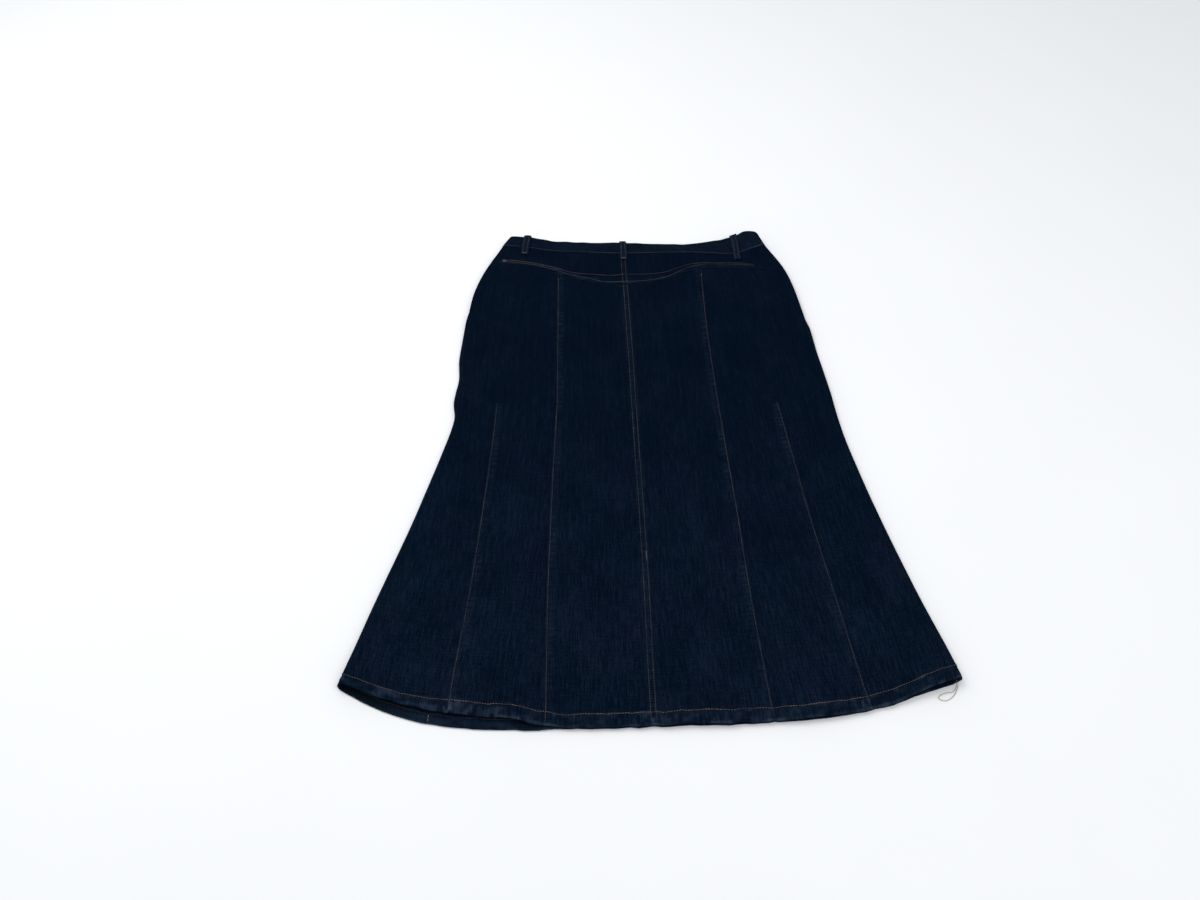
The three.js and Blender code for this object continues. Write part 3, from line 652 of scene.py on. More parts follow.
def wornAt(point, row, relief, backShare):
    across, along = point[..., 0], point[..., 1]
    above = aboveHem(point, backShare > 0.5)
    body = row < 2.5
    below = row <= 1
    yokeSewn = body * smooth(across, *wear["yokeStarts"]) * (1 - smooth(across, *wear["yokeEnds"]))
    sewnOn = {"centre": body, "princess": below, "gore": below & (along < bySide(gorePoints, across)),
              "yoke": yokeSewn}
    patchy = 0.6 + 0.4 * unevenness(across / 5, along / 7, 51)
    rungs = along / wear["rung"] + 0.7 * unevenness(along / 40, 3, 55)
    ladder = (0.5 + 0.5 * np.sin(2 * math.pi * rungs)) * (0.5 + 0.5 * unevenness(across / 9, along / 12, 52))
    worn, crossing = 0, 0
    distances = seamDistances(across, along)
    for key in ("princess", "gore", "centre", "yoke"):
        s, on = distances[key], sewnOn[key]
        reach = np.where(s > 0, wear["seamReach"], wear["lowerReach"])
        rubbed = peak(s, reach)
        worn = worn + on * rubbed * wear["seam"] * patchy
        beside = s - wear["ladderPlace"]
        worn = worn + on * wear["ladder"] * peak(beside, wear["ladderReach"]) * ladder
        crossing = crossing + on * peak(beside, wear["crossingReach"])
    edge = np.clip(0.35 + 0.6 * unevenness(across / 9, 0, 53), 0, 1)
    edge = edge * peak(above, wear["hemReach"])
    contrast = 0.40 + wear["leftMottle"] * (across < wear["leftUpTo"])
    mottled = np.clip(0.08 + contrast * unevenness(across / 4, above / 5, 54), 0, 1)
    mottled = mottled * (1 + wear["crossing"] * np.clip(crossing, 0, 1))
    worn = worn + np.where(body, edge + (1 - smooth(above, *wear["hemFades"])) * mottled, 0)
    share = np.clip(row - 3, 0, 1)
    # rubbed wear and a painted rim highlight along the waistband's top edge
    bandTopWearAndHighlight = wear["bandTopWearAndHighlight"] * peak((1 - share) * band["width"], wear["bandReach"]) * patchy
    onBand = wear["band"] + 0.08 * unevenness(across / 8, share * 3, 56) + bandTopWearAndHighlight
    worn = worn + np.where(body, 0, onBand)
    return np.clip(worn + wear["relief"] * np.clip(relief, -1, 1.2), 0, 1)


# inside, from and to set painted shade: left of the corner the inner face is darkened, standing for the shade
# under the raised back layer
shading = {"inside": 0.85, "from": -335, "to": -265, "bandLift": 1.5}
butt = ("butt", 0)
pieces = {}


# places and rows are the piece's ends around and up the skirt; low, high and top say how its edges are sewn
def sewnPiece(name, side, places, rows, spacing, hold, midRow, midPlace, low=butt, high=butt, top=butt,
              near=(), seamEdge=None):
    nearAll = [(places[0], edgeSteps.get(low[0], plainSteps)),
               (places[1], [-d for d in edgeSteps.get(high[0], plainSteps)]), *near]
    fine = np.linspace(*places, fineSteps)
    way = outerPoint(side, fine, np.full(fineSteps, float(midRow)))
    columnPlace, columnMark, width = marksOn(way, fine, spacing[0], nearAll)
    fine = np.linspace(*rows, fineSteps)
    way = outerPoint(side, np.full(fineSteps, float(midPlace)), fine)
    nearAll = [(rows[0], hemSteps if rows[0] == 0 else overSteps), (rows[1], [-d for d in underSteps])]
    rowPlace, _, _ = marksOn(way, fine, spacing[1], nearAll)

    lowBeyond, highBeyond, topBeyond = (beyond[kind](lap) for kind, lap in (low, high, top))
    before = [-d for d in lowBeyond[::-1]]
    place = np.concatenate([[places[0]] * len(before), columnPlace, [places[1]] * len(highBeyond)])
    go = side * np.concatenate([before, 0 * columnPlace, highBeyond])
    mark = np.concatenate([before, columnMark, [width + d for d in highBeyond]])
    row = np.concatenate([rowPlace, [rows[1]] * len(topBeyond)])
    goUp = np.concatenate([0 * rowPlace, topBeyond])
    if side < 0:
        place, go, mark = place[::-1], go[::-1], mark[::-1]
    place, row = np.meshgrid(place, row)
    go, goUp = np.meshgrid(go, goUp)
    mark = np.broadcast_to(mark, place.shape)
    outer, out, backShare, relief = clothPoint(side, place, row, go, goUp, hold)

    # a plain seam's edge turns down, and where it is tucked it runs on under the other layer
    if seamEdge:
        d = mark if seamEdge == "butt" else width - mark
        turned = -seams["edgeTurn"] * peak(np.maximum(d, 0), 1.3)
        if seamEdge == "tuck":
            turned = np.where(d < 0, -seams["edgeTurn"] - seams["tuckTurn"] * smooth(-d, 0, 0.7), turned)
        outer = outer + out * turned[..., None]
    onBack = backShare > 0.5
    thick = thicknessAt(outer, row, onBack)
    thick = np.where((mark < -2.2) | (mark > width + 2.2), cloth["thickness"], thick)

    # the grain is the piece's own flat pattern, shifted so that no two pieces match
    middle = np.argmin(np.abs(mark[0] - width / 2))
    stepAcross = np.linalg.norm(np.diff(outer, axis=1), axis=2)
    stepUp = np.linalg.norm(np.diff(outer, axis=0), axis=2)
    u = np.concatenate([np.zeros((len(outer), 1)), np.cumsum(stepAcross, 1)], 1)
    u = u - u[:, middle:middle + 1]
    v = np.broadcast_to(np.concatenate([[0], np.cumsum(stepUp[:, middle])])[:, None], u.shape)
    number = len(pieces) + 1
    grain = np.stack([u + 613 * number, v + 171 * number], -1)

    worn = wornAt(outer, row, relief, backShare)
    # painted shade: towards the left corner the inner face takes the dark inside colour, standing for the
    # shade under the raised back layer
    shaded = shading["inside"] * (1 - smooth(outer[..., 0], shading["from"], shading["to"]))
    inside = np.where(row < 3, np.maximum(smooth(aboveHem(outer, onBack), 15.5, 18), shaded), 0)
    # painted shade and wear: the back's crease heights darken the troughs as painted shade and lighten the
    # ridges as wear and painted light; on the waistband the tone is lifted evenly instead
    creaseShadeAndWear = creased(outer[..., 0], outer[..., 1], backCreases) * onBack
    creaseShadeAndWear = np.where(row < 3, creaseShadeAndWear, shading["bandLift"])
    pieces[name] = shellPiece(name, outer, out, thick, grain, worn, inside, creaseShadeAndWear)

    cells = np.cross(outer[1:, 1:] - outer[:-1, :-1], outer[1:, :-1] - outer[:-1, 1:])


backStep = ((4, 3.4))
frontStep = ((8, 6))
trimStep = (4, 3)
over, under, tuck = ("over", seams["princessLap"]), ("under", seams["under"]), ("tuck", seams["tuck"])
underYoke = ("under", seams["yokeUnder"])

for name, side in (("left", -1), ("right", 1)):
    centre = ("over", seams["centreLap"]) if side < 0 else under
    cuts = {
        "back_centre": dict(
            places=(0, 1), rows=(0, 1), spacing=backStep, midRow=0.55, midPlace=0.5, low=centre, high=over,
            top=underYoke, hold={"centre": centre[0], "princess": "over", "yoke": "under"}),
        "back_side": dict(
            places=(1, 3), rows=(0, 1), spacing=backStep, midRow=0.55, midPlace=2, low=under, high=tuck,
            top=underYoke, hold={"princess": "under", "yoke": "under"}, near=[(2, goreSteps)],
            seamEdge="tuck"),
        "back_yoke": dict(
            places=(0, 3), rows=(1, 2), spacing=trimStep, midRow=1.5, midPlace=0.5, low=centre, high=tuck,
            hold={"centre": centre[0], "yoke": "over"}, seamEdge="tuck"),
        "front_side": dict(
            places=(3, 6), rows=(0, 2), spacing=frontStep, midRow=0.55, midPlace=4.5, high=under,
            hold={"frontPrincess": "under"}, near=[(3.4, range(-14, 30, 2))], seamEdge="butt"),
        "front_centre": dict(
            places=(6, 7), rows=(0, 2), spacing=frontStep, midRow=0.55, midPlace=6.5, low=over,
            hold={"frontPrincess": "over"}),
        "waistband": dict(
            places=(0, 7), rows=(3, 4), spacing=trimStep, midRow=3.5, midPlace=0.5, hold={},
            near=[(3.4, range(-20, 36, 2))]),
    }
    for kind, cut in cuts.items():
        sewnPiece(kind + "_" + name, side, **cut)
print("cloth pieces are made")


# belt loops: folded strips that run from below the waist seam up over the waistband's top edge

loopStrap = {"width": 12, "thickness": 1.5, "length": 56, "clearance": 0.4, "bow": 1.8, "frontBow": 1.2,
             "tack": 6, "footLift": 0.5, "hook": 2.4, "steps": 34, "ring": 14, "rows": 3.1}
# name, onBack, across, lean, belowSeam
beltLoops = [("belt_loop_back_left", True, -162.5, 6.5, 16), ("belt_loop_back_centre", True, 2, 0.5, 14),
             ("belt_loop_back_right", True, 192.5, -2.5, 14), ("belt_loop_front_left", False, -88, 0, 14),
             ("belt_loop_front_right", False, 94, 0, 14)]


def loopPath(onBack, belowSeam, across):
    sign = 1 if onBack else -1
    seam = float(waistLine("seam", across) if onBack else frontWaistAlong(across))
    top = float(waistLine("top", across) if onBack else frontTopAlong(across))
    body = backHeight if onBack else frontHeight
    bow = sign * loopStrap["bow" if onBack else "frontBow"]
    overBand = lambda share: float(bandHeight(across, share)) if onBack else frontLift["height"]
    clear = sign * loopStrap["clearance"]
    foot = seam - belowSeam
    path = [(along, float(body(across, along)) + clear + sign * loopStrap["footLift"])
            for along in (foot, foot + loopStrap["tack"])]
    path += [(lerp(seam, top, share), overBand(share) + bow) for share in (0.1, 0.4, 0.7)]
    path += [(top + loopStrap["clearance"], overBand(1) + clear),
             (top + loopStrap["clearance"], overBand(1) - sign * loopStrap["hook"])]
    return np.array(path)


# a smooth curve through points, evenly stepped
def curved(path, count):
    path = np.asarray(path, float)
    ends = np.concatenate([[2 * path[0] - path[1]], path, [2 * path[-1] - path[-2]]])
    t = np.linspace(0, len(path) - 1, count)
    k = np.minimum(t.astype(int), len(path) - 2)
    f = (t - k)[:, None]
    a, b, c, d = ends[k], ends[k + 1], ends[k + 2], ends[k + 3]
    square, cube = 2 * a - 5 * b + 4 * c - d, 3 * b - 3 * c + d - a
    return 0.5 * (2 * b + (c - a) * f + square * f ** 2 + cube * f ** 3)


def loopSurface(loop, offset, lift=0.0):
    _, onBack, across, lean, belowSeam = loop
    sign, steps = 1 if onBack else -1, loopStrap["steps"]
    x = across + offset + lean * (np.linspace(0, 1, steps) - 0.5)
    path = curved(loopPath(onBack, belowSeam, across + offset), steps)
    run = unit(np.gradient(path, axis=0))
    out = np.stack([0 * run[:, 0], -run[:, 1] * sign, run[:, 0] * sign], 1)
    uneven = 0.25 * unevenness(path[:, 0] / 7, across, 61)
    raised = loopStrap["thickness"] / 2 + lift + uneven
    point = np.stack([x, path[:, 0], path[:, 1]], 1) + out * raised[:, None]
    return point, out


def beltLoop(loop):
    name, onBack, across, _, _ = loop
    count, ring = loopStrap["steps"], loopStrap["ring"]
    turn = np.linspace(0, 2 * math.pi, ring, endpoint=False)
    flatX = np.sign(np.cos(turn)) * np.abs(np.cos(turn)) ** 0.45
    flatZ = np.sign(np.sin(turn)) * np.abs(np.sin(turn)) ** 0.75
    half, thick = loopStrap["width"] / 2, loopStrap["thickness"] / 2
    way = np.linspace(0, loopStrap["length"], count)
    rubbedTop = peak(way - 52, 5)
    points, grain, worn = [], [], []
    for x, z in zip(flatX, flatZ):
        point, out = loopSurface(loop, x * half * 0.98)
        points.append(point + out * z * thick * (1 - 0.22 * x ** 6))
        grain.append(np.stack([0 * way + x * half + 97 * across, way + 4 * z], 1))
        worn.append(0.22 + 0.30 * abs(x) ** 5 + 0.30 * rubbedTop * (z > 0))
    number = np.arange(count * ring).reshape(count, ring).tolist()
    faces = []
    for near, far in zip(number, number[1:]):
        for k in range(ring):
            m = (k + 1) % ring
            quad = [near[k], near[m], far[m], far[k]]
            faces.append(quad[::-1] if onBack else quad)
    for cap in (number[0], number[-1][::-1]):
        faces.append(cap if onBack else cap[::-1])
    values = {"worn": np.stack(worn, 1).ravel()}
    points, grain = np.stack(points, 1).reshape(-1, 3), np.stack(grain, 1).reshape(-1, 2)
    pieces[name] = newPiece(name + "_cloth", points, faces, values, grain, name)


for loop in beltLoops:
    beltLoop(loop)
print("belt loops are made")

# stitching: one stitch is modelled and copied along every sewn line

thread = {"length": 2.9, "gap": 0.5, "width": 0.66, "height": 0.5, "segments": 6, "rings": 4,
          "drift": 0.09, "fade": 0.22, "inside": 0.05}
pathPoints = {"row": 260, "yoke": 90, "hem": 170, "band": 330}


def deselectAll():
    bpy.ops.object.select_all(action="DESELECT")


deselectAll()
bpy.ops.mesh.primitive_uv_sphere_add(segments=thread["segments"], ring_count=thread["rings"], radius=0.5)
model = bpy.context.active_object
bpy.ops.object.mode_set(mode="EDIT")
bpy.ops.mesh.select_all(action="SELECT")
bpy.ops.mesh.quads_convert_to_tris()
bpy.ops.object.mode_set(mode="OBJECT")
ball = np.array([tuple(v.co) for v in model.data.vertices])
# the poles become the stitch's ends, which dip into the cloth
stitchShape = np.stack([ball[:, 2], -ball[:, 1] * 1.15, ball[:, 0] * 1.1 - 1.1 * ball[:, 2] ** 2], 1)
stitchFaces = np.array(sorted(tuple(face.vertices) for face in model.data.polygons))
bpy.data.objects.remove(model)

sewn = {"back": [], "front": [], "band": []}


def sew(group, points, outs, length=thread["length"], gap=thread["gap"], width=1.0, lift=0.12, shade=0.4):
    way = np.concatenate([[0], np.cumsum(np.linalg.norm(np.diff(points, axis=0), axis=1))])
    count = int((way[-1] + gap) / (length + gap))
    if count < 1:
        return
    step = way[-1] / count
    middle = (np.arange(count) + 0.5) * step
    put = lambda grid, at: np.stack([np.interp(at, way, grid[:, k]) for k in range(3)], 1)
    centre, out = put(points, middle), unit(put(outs, middle))
    run = unit(put(points, np.minimum(middle + 0.6, way[-1])) - put(points, np.maximum(middle - 0.6, 0)))
    beside = unit(np.cross(out, run))
    drift = thread["drift"] * unevenness(middle / 9, points[0, 0], 71)[:, None]
    centre = centre + out * lift + beside * drift
    size = np.array([step - gap, thread["width"] * width, thread["height"] * width])
    faded = unevenness(middle / 23, points[0, 1], 72) + unevenness(middle / 6, 0, 73)
    tone = np.clip(shade + thread["fade"] * faded, 0, 1)
    sewn[group].append((centre, run, beside, out, np.broadcast_to(size, (count, 3)), tone))


# dense stitches side by side across a line, as a bartack or an overlapped end is
def tack(group, centre, run, out, length, wide, count, shade=0.85, lift=0.25):
    run, out = unit(np.asarray(run, float)), unit(np.asarray(out, float))
    beside = unit(np.cross(out, run))
    for t in np.linspace(-0.5, 0.5, count):
        middle = np.asarray(centre) + run * t * length
        ends = np.stack([middle - beside * wide / 2, middle + beside * wide / 2])
        sew(group, ends, np.stack([out, out]), length=wide, gap=0, width=0.8, lift=lift, shade=shade)


# the place around the half for a point of the back
def placeOn(side, across, along):
    centre, princess = middleLine("centre", along), sideLine(side, "princess", along)
    gore, fold = sideLine(side, "gore", along), sideLine(side, "fold", along)
    x = side * across
    top, bottom = heights(side * (fold - middleLine("foldHeight", along) / 2), along, 1.5)
    radius = (top - bottom) / 2
    edge = fold - radius + radius * math.pi / 2
    seam = seamInset(side, along)
    outer = 3 - np.sqrt(np.clip((edge - x - seam) / (edge - gore - seam), 0, 1))
    inner = (x - side * centre) / (princess - side * centre)
    return np.where(inner < 1, inner, np.where(x < gore, 1 + (x - princess) / (gore - princess), outer))


def rowAbove(side, place, distance, onBack):
    row = np.full(place.shape, distance / plan["bodyLength"])
    for _ in range(4):
        above = aboveHem(outerPoint(side, place, row), onBack)
        row = row * distance / np.maximum(above, 0.5)
    return row


def seamLine(group, side, place, firstRow, lastRow, go, hold, **how):
    rows = np.linspace(firstRow, lastRow, max(int(abs(lastRow - firstRow) * pathPoints["row"]), 12))
    point, out = surfaceAt(side, np.full(rows.shape, float(place)), rows, go, hold)
    sew(group, point, out, **how)
    return point, out


# rows run from the hem's edge, and end a little below or above the seams that cross them
rowEnds = {"hem": 0.004, "princess": 0.981, "centre": 0.996, "yokeFoot": 1.03, "yokeTop": 1.97,
           "frontTop": 1.985, "frontGore": 0.62, "centreOverlap": (0.297, 0.318)}
inFront = {"lift": 0.02}
# length, wide, count and shade of the tacks at the seams' upper ends
princessTacks = {-1: (3.2, 3.4, 5, 0.95), 1: (3.2, 2.2, 5, 0.95)}
goreTacks = {-1: (9, 1.3, 10, 1.0), 1: (3, 1.3, 3, 0.5)}

# the back's centre seam: twin rows from the hem through the yoke, overlapped once low on the right row
for go in (-lines["twin"], lines["twin"]):
    seamLine("back", -1, 0, rowEnds["hem"], rowEnds["centre"], go, {"centre": "over", "yoke": "under"})
    seamLine("back", -1, 0, rowEnds["yokeFoot"], rowEnds["yokeTop"], go, {"centre": "over", "yoke": "over"})
rows = np.linspace(*rowEnds["centreOverlap"], 10)
point, out = surfaceAt(-1, np.zeros(10), rows, lines["twin"] - 0.7, {"centre": "over"})
sew("back", point, out, width=1.25, shade=0.95, lift=0.3)

for side in (-1, 1):
    point, out = seamLine("back", side, 1, rowEnds["hem"], rowEnds["princess"], 0, {"princess": "over"})
    tack("back", point[-1], point[-1] - point[-2], out[-1], *princessTacks[side], lift=0.6)
    goreRow = np.array([0.6])
    for _ in range(12):
        goreRow = goreRow * bySide(gorePoints, side) / outerPoint(side, np.array([2.0]), goreRow)[0, 1]
    point, out = seamLine("back", side, 2, rowEnds["hem"], float(goreRow[0]), 0, {})
    tack("back", point[-1], point[-1] - point[-2], out[-1], *goreTacks[side])
    # the front's seams have the same rows
    seamLine("front", side, 6, rowEnds["hem"], rowEnds["frontTop"], 0, {"frontPrincess": "over"}, **inFront)
    seamLine("front", side, 5, rowEnds["hem"], rowEnds["frontGore"], 0, {}, **inFront)

# the yoke: two rows, close at the sides and apart in the middle, from side seam to side seam
yokeRows = {
    "upper": {
        "across": [-201, -164, -137, -117, -97, -76, -56, -22.5, 2.5, 44, 71, 87, 113, 138, 167, 197, 221],
        "along":  [823, 818, 811, 804, 795, 789, 787, 782.7, 784.4, 784.4, 788.5, 795.5, 806, 809, 808,
                   804.7, 799.4]},
    "lower": {
        "across": [-201, -164, -137, -97, -72, -56, -34.6, 1.7, 43, 68.5, 86, 112, 138, 196, 221],
        "along":  [819.8, 814, 807, 789, 780.5, 776, 768.3, 767.2, 769.6, 775, 784, 799, 804.7, 801.5,
                   795.8]},
}
# side, from, to, end that is tacked, thread width, shade
yokeHalves = [(-1, -200, 1, 0, 1.35, 0.64), (1, 1, 219, -1, 1.2, 0.46)]
yokeTack = {"below": np.array([0, 2.4, 0]), "size": (5, 6.2, 7)}
for key, table in yokeRows.items():
    for side, lowX, highX, end, width, shade in yokeHalves:
        x = np.linspace(lowX, highX, pathPoints["yoke"])
        y = read(table, "across", "along", x)
        yokeAt, seamAt = waistLine("yoke", x), waistLine("seam", x)
        row = 1 + np.clip((y - yokeAt) / (seamAt - yokeAt), 0.03, 0.99)
        point, out = surfaceAt(side, np.clip(placeOn(side, x, y), 0, 2.995), row, 0, {"yoke": "over"})
        sew("back", point, out, width=width, shade=shade)
        if key == "upper":
            tack("back", point[end] - yokeTack["below"], (1, 0, 0), out[end], *yokeTack["size"])

# hem rows all round, on the outer face and for the front on the inner face too
innerFace = cloth["hemThickness"] + thread["inside"]
for side in (-1, 1):
    for first, last, group, distance, lift in ((0.0, 3.5, "back", lines["hem"], 0.36),
                                               (3.7, 7.0, "front", lines["frontHem"], inFront["lift"])):
        place = np.linspace(first, last, pathPoints["hem"])
        wander = 0.8 * unevenness(place * 9, side, 91) + 0.4 * unevenness(place * 25, side, 92)
        row = rowAbove(side, place, distance + wander, group == "back")
        point, out = surfaceAt(side, place, row)
        sew(group, point, out, width=1.35, lift=lift, shade=0.68)
    sew("front", point - out * innerFace, -out, shade=0.36)
    # where the front's gore seam crosses its hem, the turned edge is tacked
    point, out = surfaceAt(side, np.array([5.0, 5.0]), np.array([0.003, 0.014]))
    sew("front", point - out * innerFace, -out, width=1.6, lift=0.25, shade=1.0)

# the waistband's foot all round
for side in (-1, 1):
    place = np.linspace(0.0, 7.0, pathPoints["band"])
    point, out = surfaceAt(side, place, 3 + lines["bandFoot"] / band["width"] + 0 * place)
    sew("band", point, out, width=1.15, lift=0.2, shade=0.38)

# belt loops: two rows each, tacked at the foot and at the top
# step, length, wide, count, shade
loopTacks = [(2, 2.2, 10.4, 6, 0.5), (27, 1.8, 9.6, 4, 0.6)]
for loop in beltLoops:
    for offset in (-loopStrap["rows"], loopStrap["rows"]):
        point, out = loopSurface(loop, offset, loopStrap["thickness"] / 2)
        sew("band", point[1:-3], out[1:-3], length=2.4, lift=0.06, width=0.9, shade=0.45)
    point, out = loopSurface(loop, 0, loopStrap["thickness"] / 2)
    for at, *how in loopTacks:
        tack("band", point[at], point[at + 1] - point[at], out[at], *how)

# the fly on the front: a row that runs down beside the centre seam and curves in to it
fly = {"across": 36, "from": 806, "curveAt": 690, "to": 652, "insets": (0, 6), "steps": 60}
for inset in fly["insets"]:
    t = np.linspace(0, 1, fly["steps"])
    edge = fly["across"] - inset
    down = np.stack([0 * t + edge, lerp(fly["from"], fly["curveAt"], t)], 1)
    turn = t * math.pi / 2
    curveX = plan["frontCentre"] + (edge - plan["frontCentre"]) * np.cos(turn)
    curveY = fly["curveAt"] - (fly["curveAt"] - fly["to"] - inset) * np.sin(turn)
    way = np.concatenate([down, np.stack([curveX, curveY], 1)[1:]])
    height = frontHeight(way[:, 0], way[:, 1]) + 0.2
    outs = np.tile([0.0, 0.0, -1.0], (len(way), 1))
    sew("front", np.stack([way[:, 0], way[:, 1], height], 1), outs, lift=0.05)
seamLine("front", 1, 7, rowEnds["hem"], rowEnds["frontTop"], 1.8, {}, **inFront)

# a loose end of thread lies in a loop at the hem's right corner
looseEnd = [(371.6, 44, 7.5), (372.3, 40, 2.4), (366.9, 30.4, 0.5), (359.3, 24.2, 0.5), (352, 22.1, 0.5),
            (346.2, 25.2, 0.5), (348.4, 29, 0.8), (356.4, 32, 1.1), (363.7, 32.6, 1.4), (369.9, 38.3, 2.6),
            (371, 46, 6.5)]


def threadTube(points, radius, ring=6):
    points = np.asarray(points)
    run = unit(np.gradient(points, axis=0))
    beside = unit(np.cross(run, np.array([0, 0, 1.0])))
    upward = np.cross(beside, run)
    turn = np.linspace(0, 2 * math.pi, ring, endpoint=False)
    rings = points[:, None] + radius * (np.cos(turn)[None, :, None] * beside[:, None]
                                        + np.sin(turn)[None, :, None] * upward[:, None])
    count = len(points)
    number = np.arange(count * ring).reshape(count, ring)
    a, b = number[:-1], np.roll(number, -1, 1)[:-1]
    c, d = np.roll(number, -1, 1)[1:], number[1:]
    quads = np.stack([a, d, c, b], -1).reshape(-1, 4)
    tris = np.concatenate([quads[:, [0, 1, 2]], quads[:, [0, 2, 3]]])
    first, last = number[0], number[-1]
    fan = [[first[0], first[k], first[k + 1]] for k in range(1, ring - 1)]
    fan += [[last[0], last[k + 1], last[k]] for k in range(1, ring - 1)]
    return rings.reshape(-1, 3), np.concatenate([tris, np.array(fan)])


def threadPiece(name, group, extra=None):
    centre, run, beside, out, size, tone = (np.concatenate(column) for column in zip(*sewn[group]))
    shape = stitchShape[None] * size[:, None, :]
    points = (centre[:, None] + shape[..., :1] * run[:, None] + shape[..., 1:2] * beside[:, None]
              + shape[..., 2:] * out[:, None])
    count, each = points.shape[:2]
    faces = (stitchFaces[None] + each * np.arange(count)[:, None, None]).reshape(-1, 3)
    points, tone = points.reshape(-1, 3), np.repeat(tone, each)
    if extra is not None:
        more, moreFaces = extra
        faces = np.concatenate([faces, moreFaces + len(points)])
        points = np.concatenate([points, more])
        tone = np.concatenate([tone, np.full(len(more), 1.0)])
    print(name, count, "stitches", len(faces), "triangles")
    return newPiece(name, points, faces.tolist(), {"tone": tone})


looseThread = threadTube(curved(looseEnd, 60), 0.28)
threads = [threadPiece("stitching_back", "back", looseThread),
           threadPiece("stitching_front", "front"), threadPiece("stitching_waistband", "band")]
print("stitching is made")

# the closed zip on the inner face of the front: two tapes, the interlocked teeth, a slider and its plain pull

zipParts = {"across": 2, "width": 30, "top": 804, "length": 148, "tape": 0.7, "lift": 1.9, "tapeDrop": 0.3,
            "selvedge": 0.25, "selvedgeReach": 1.2, "toothPitch": 2.1, "toothOffset": 1.0, "toothLift": 0.4,
            "endsBare": 4, "tooth": (3.4, 1.3, 1.5), "slider": (8, 10, 2.6), "sliderBelowTop": 10,
            "sliderLift": 0.9, "pull": (4.4, 20, 0.9), "pullBelowSlider": 12, "pullLift": 2.1}


def block(size, place, bevel, name):
    deselectAll()
    bpy.ops.mesh.primitive_cube_add(size=1, location=toMetres(np.array(place, float)))
    made = bpy.context.active_object
    made.name = name
    bpy.ops.transform.resize(value=[d / 1000 for d in size])
    bpy.ops.object.transform_apply(location=True, rotation=True, scale=True)
    bpy.ops.object.mode_set(mode="EDIT")
    bpy.ops.mesh.select_all(action="SELECT")
    bpy.ops.mesh.bevel(offset=bevel / 1000, segments=2, affect="EDGES")
    bpy.ops.object.mode_set(mode="OBJECT")
    return made


def join(parts, name):
    deselectAll()
    for part in parts:
        part.select_set(True)
    bpy.context.view_layer.objects.active = parts[0]
    bpy.ops.object.join()
    made = bpy.context.active_object
    made.name = name
    return made


def frontInside(across, along):
    return float(frontHeight(across, along)) + zipParts["lift"]


def onZip(along, lift, offset=0):
    across = zipParts["across"]
    return across + offset, along, frontInside(across, along) + lift


deselectAll()
bpy.ops.mesh.primitive_grid_add(x_subdivisions=12, y_subdivisions=40, size=1, location=(0, 0, 0))
tape = bpy.context.active_object
tape.name = "zip_tapes"
for vertex in tape.data.vertices:
    across = zipParts["across"] + vertex.co.x * zipParts["width"]
    along = zipParts["top"] - (0.5 - vertex.co.y) * zipParts["length"]
    inward = (0.5 - abs(vertex.co.x)) * zipParts["width"]
    selvedge = zipParts["selvedge"] * math.exp(-(inward / zipParts["selvedgeReach"]) ** 2)
    height = frontInside(across, along) - zipParts["tapeDrop"] + selvedge
    vertex.co = toMetres(np.array([across, along, height]))
thicken = tape.modifiers.new("thicken", "SOLIDIFY")
thicken.thickness = zipParts["tape"] / 1000
thicken.offset = 0
deselectAll()
tape.select_set(True)
bpy.context.view_layer.objects.active = tape
bpy.ops.object.modifier_apply(modifier="thicken")
bpy.ops.object.shade_smooth_by_angle(angle=math.radians(40))

tooth = block(zipParts["tooth"], (0, plan["middleAlong"], 0), 0.3, "tooth")
teeth = []
bottomAlong = zipParts["top"] - zipParts["length"] + zipParts["endsBare"]
for i in range(int(zipParts["length"] / zipParts["toothPitch"]) - 3):
    for half in (-1, 1):
        copyTooth = tooth.copy()
        copyTooth.data = tooth.data.copy()
        scene.collection.objects.link(copyTooth)
        along = bottomAlong + (i + (half > 0) / 2) * zipParts["toothPitch"]
        place = toMetres(np.array(onZip(along, zipParts["toothLift"], half * zipParts["toothOffset"])))
        for vertex in copyTooth.data.vertices:
            vertex.co = [c + d for c, d in zip(vertex.co, place)]
        teeth.append(copyTooth)
bpy.data.objects.remove(tooth)
sliderAlong = zipParts["top"] - zipParts["sliderBelowTop"]
slider = block(zipParts["slider"], onZip(sliderAlong, zipParts["sliderLift"]), 0.9, "slider")
pullAlong = sliderAlong - zipParts["pullBelowSlider"]
pull = block(zipParts["pull"], onZip(pullAlong, zipParts["pullLift"]), 0.35, "pull")
teeth = join(teeth + [slider, pull], "zip_teeth")
for piece, slot in ((tape, "zip_tape"), (teeth, "button_brass")):
    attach(piece, "root")
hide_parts("zip")
print("zip is made")

# finishes


class Wire:
    def __init__(self, finish, socket):
        self.finish, self.socket = finish, socket

    def maths(self, operation, first, second):
        return self.finish.node("Math", {"operation": operation}, {0: first, 1: second})

    def __add__(self, other):
        return self.maths("ADD", self, other)

    def __sub__(self, other):
        return self.maths("SUBTRACT", self, other)

    def __rsub__(self, other):
        return self.maths("SUBTRACT", other, self)

    def __mul__(self, other):
        return self.maths("MULTIPLY", self, other)

    def __pow__(self, other):
        return self.maths("POWER", self, other)

    __radd__, __rmul__ = __add__, __mul__

    def within(self, low, high):
        return self.maths("MINIMUM", self.maths("MAXIMUM", self, low), high)


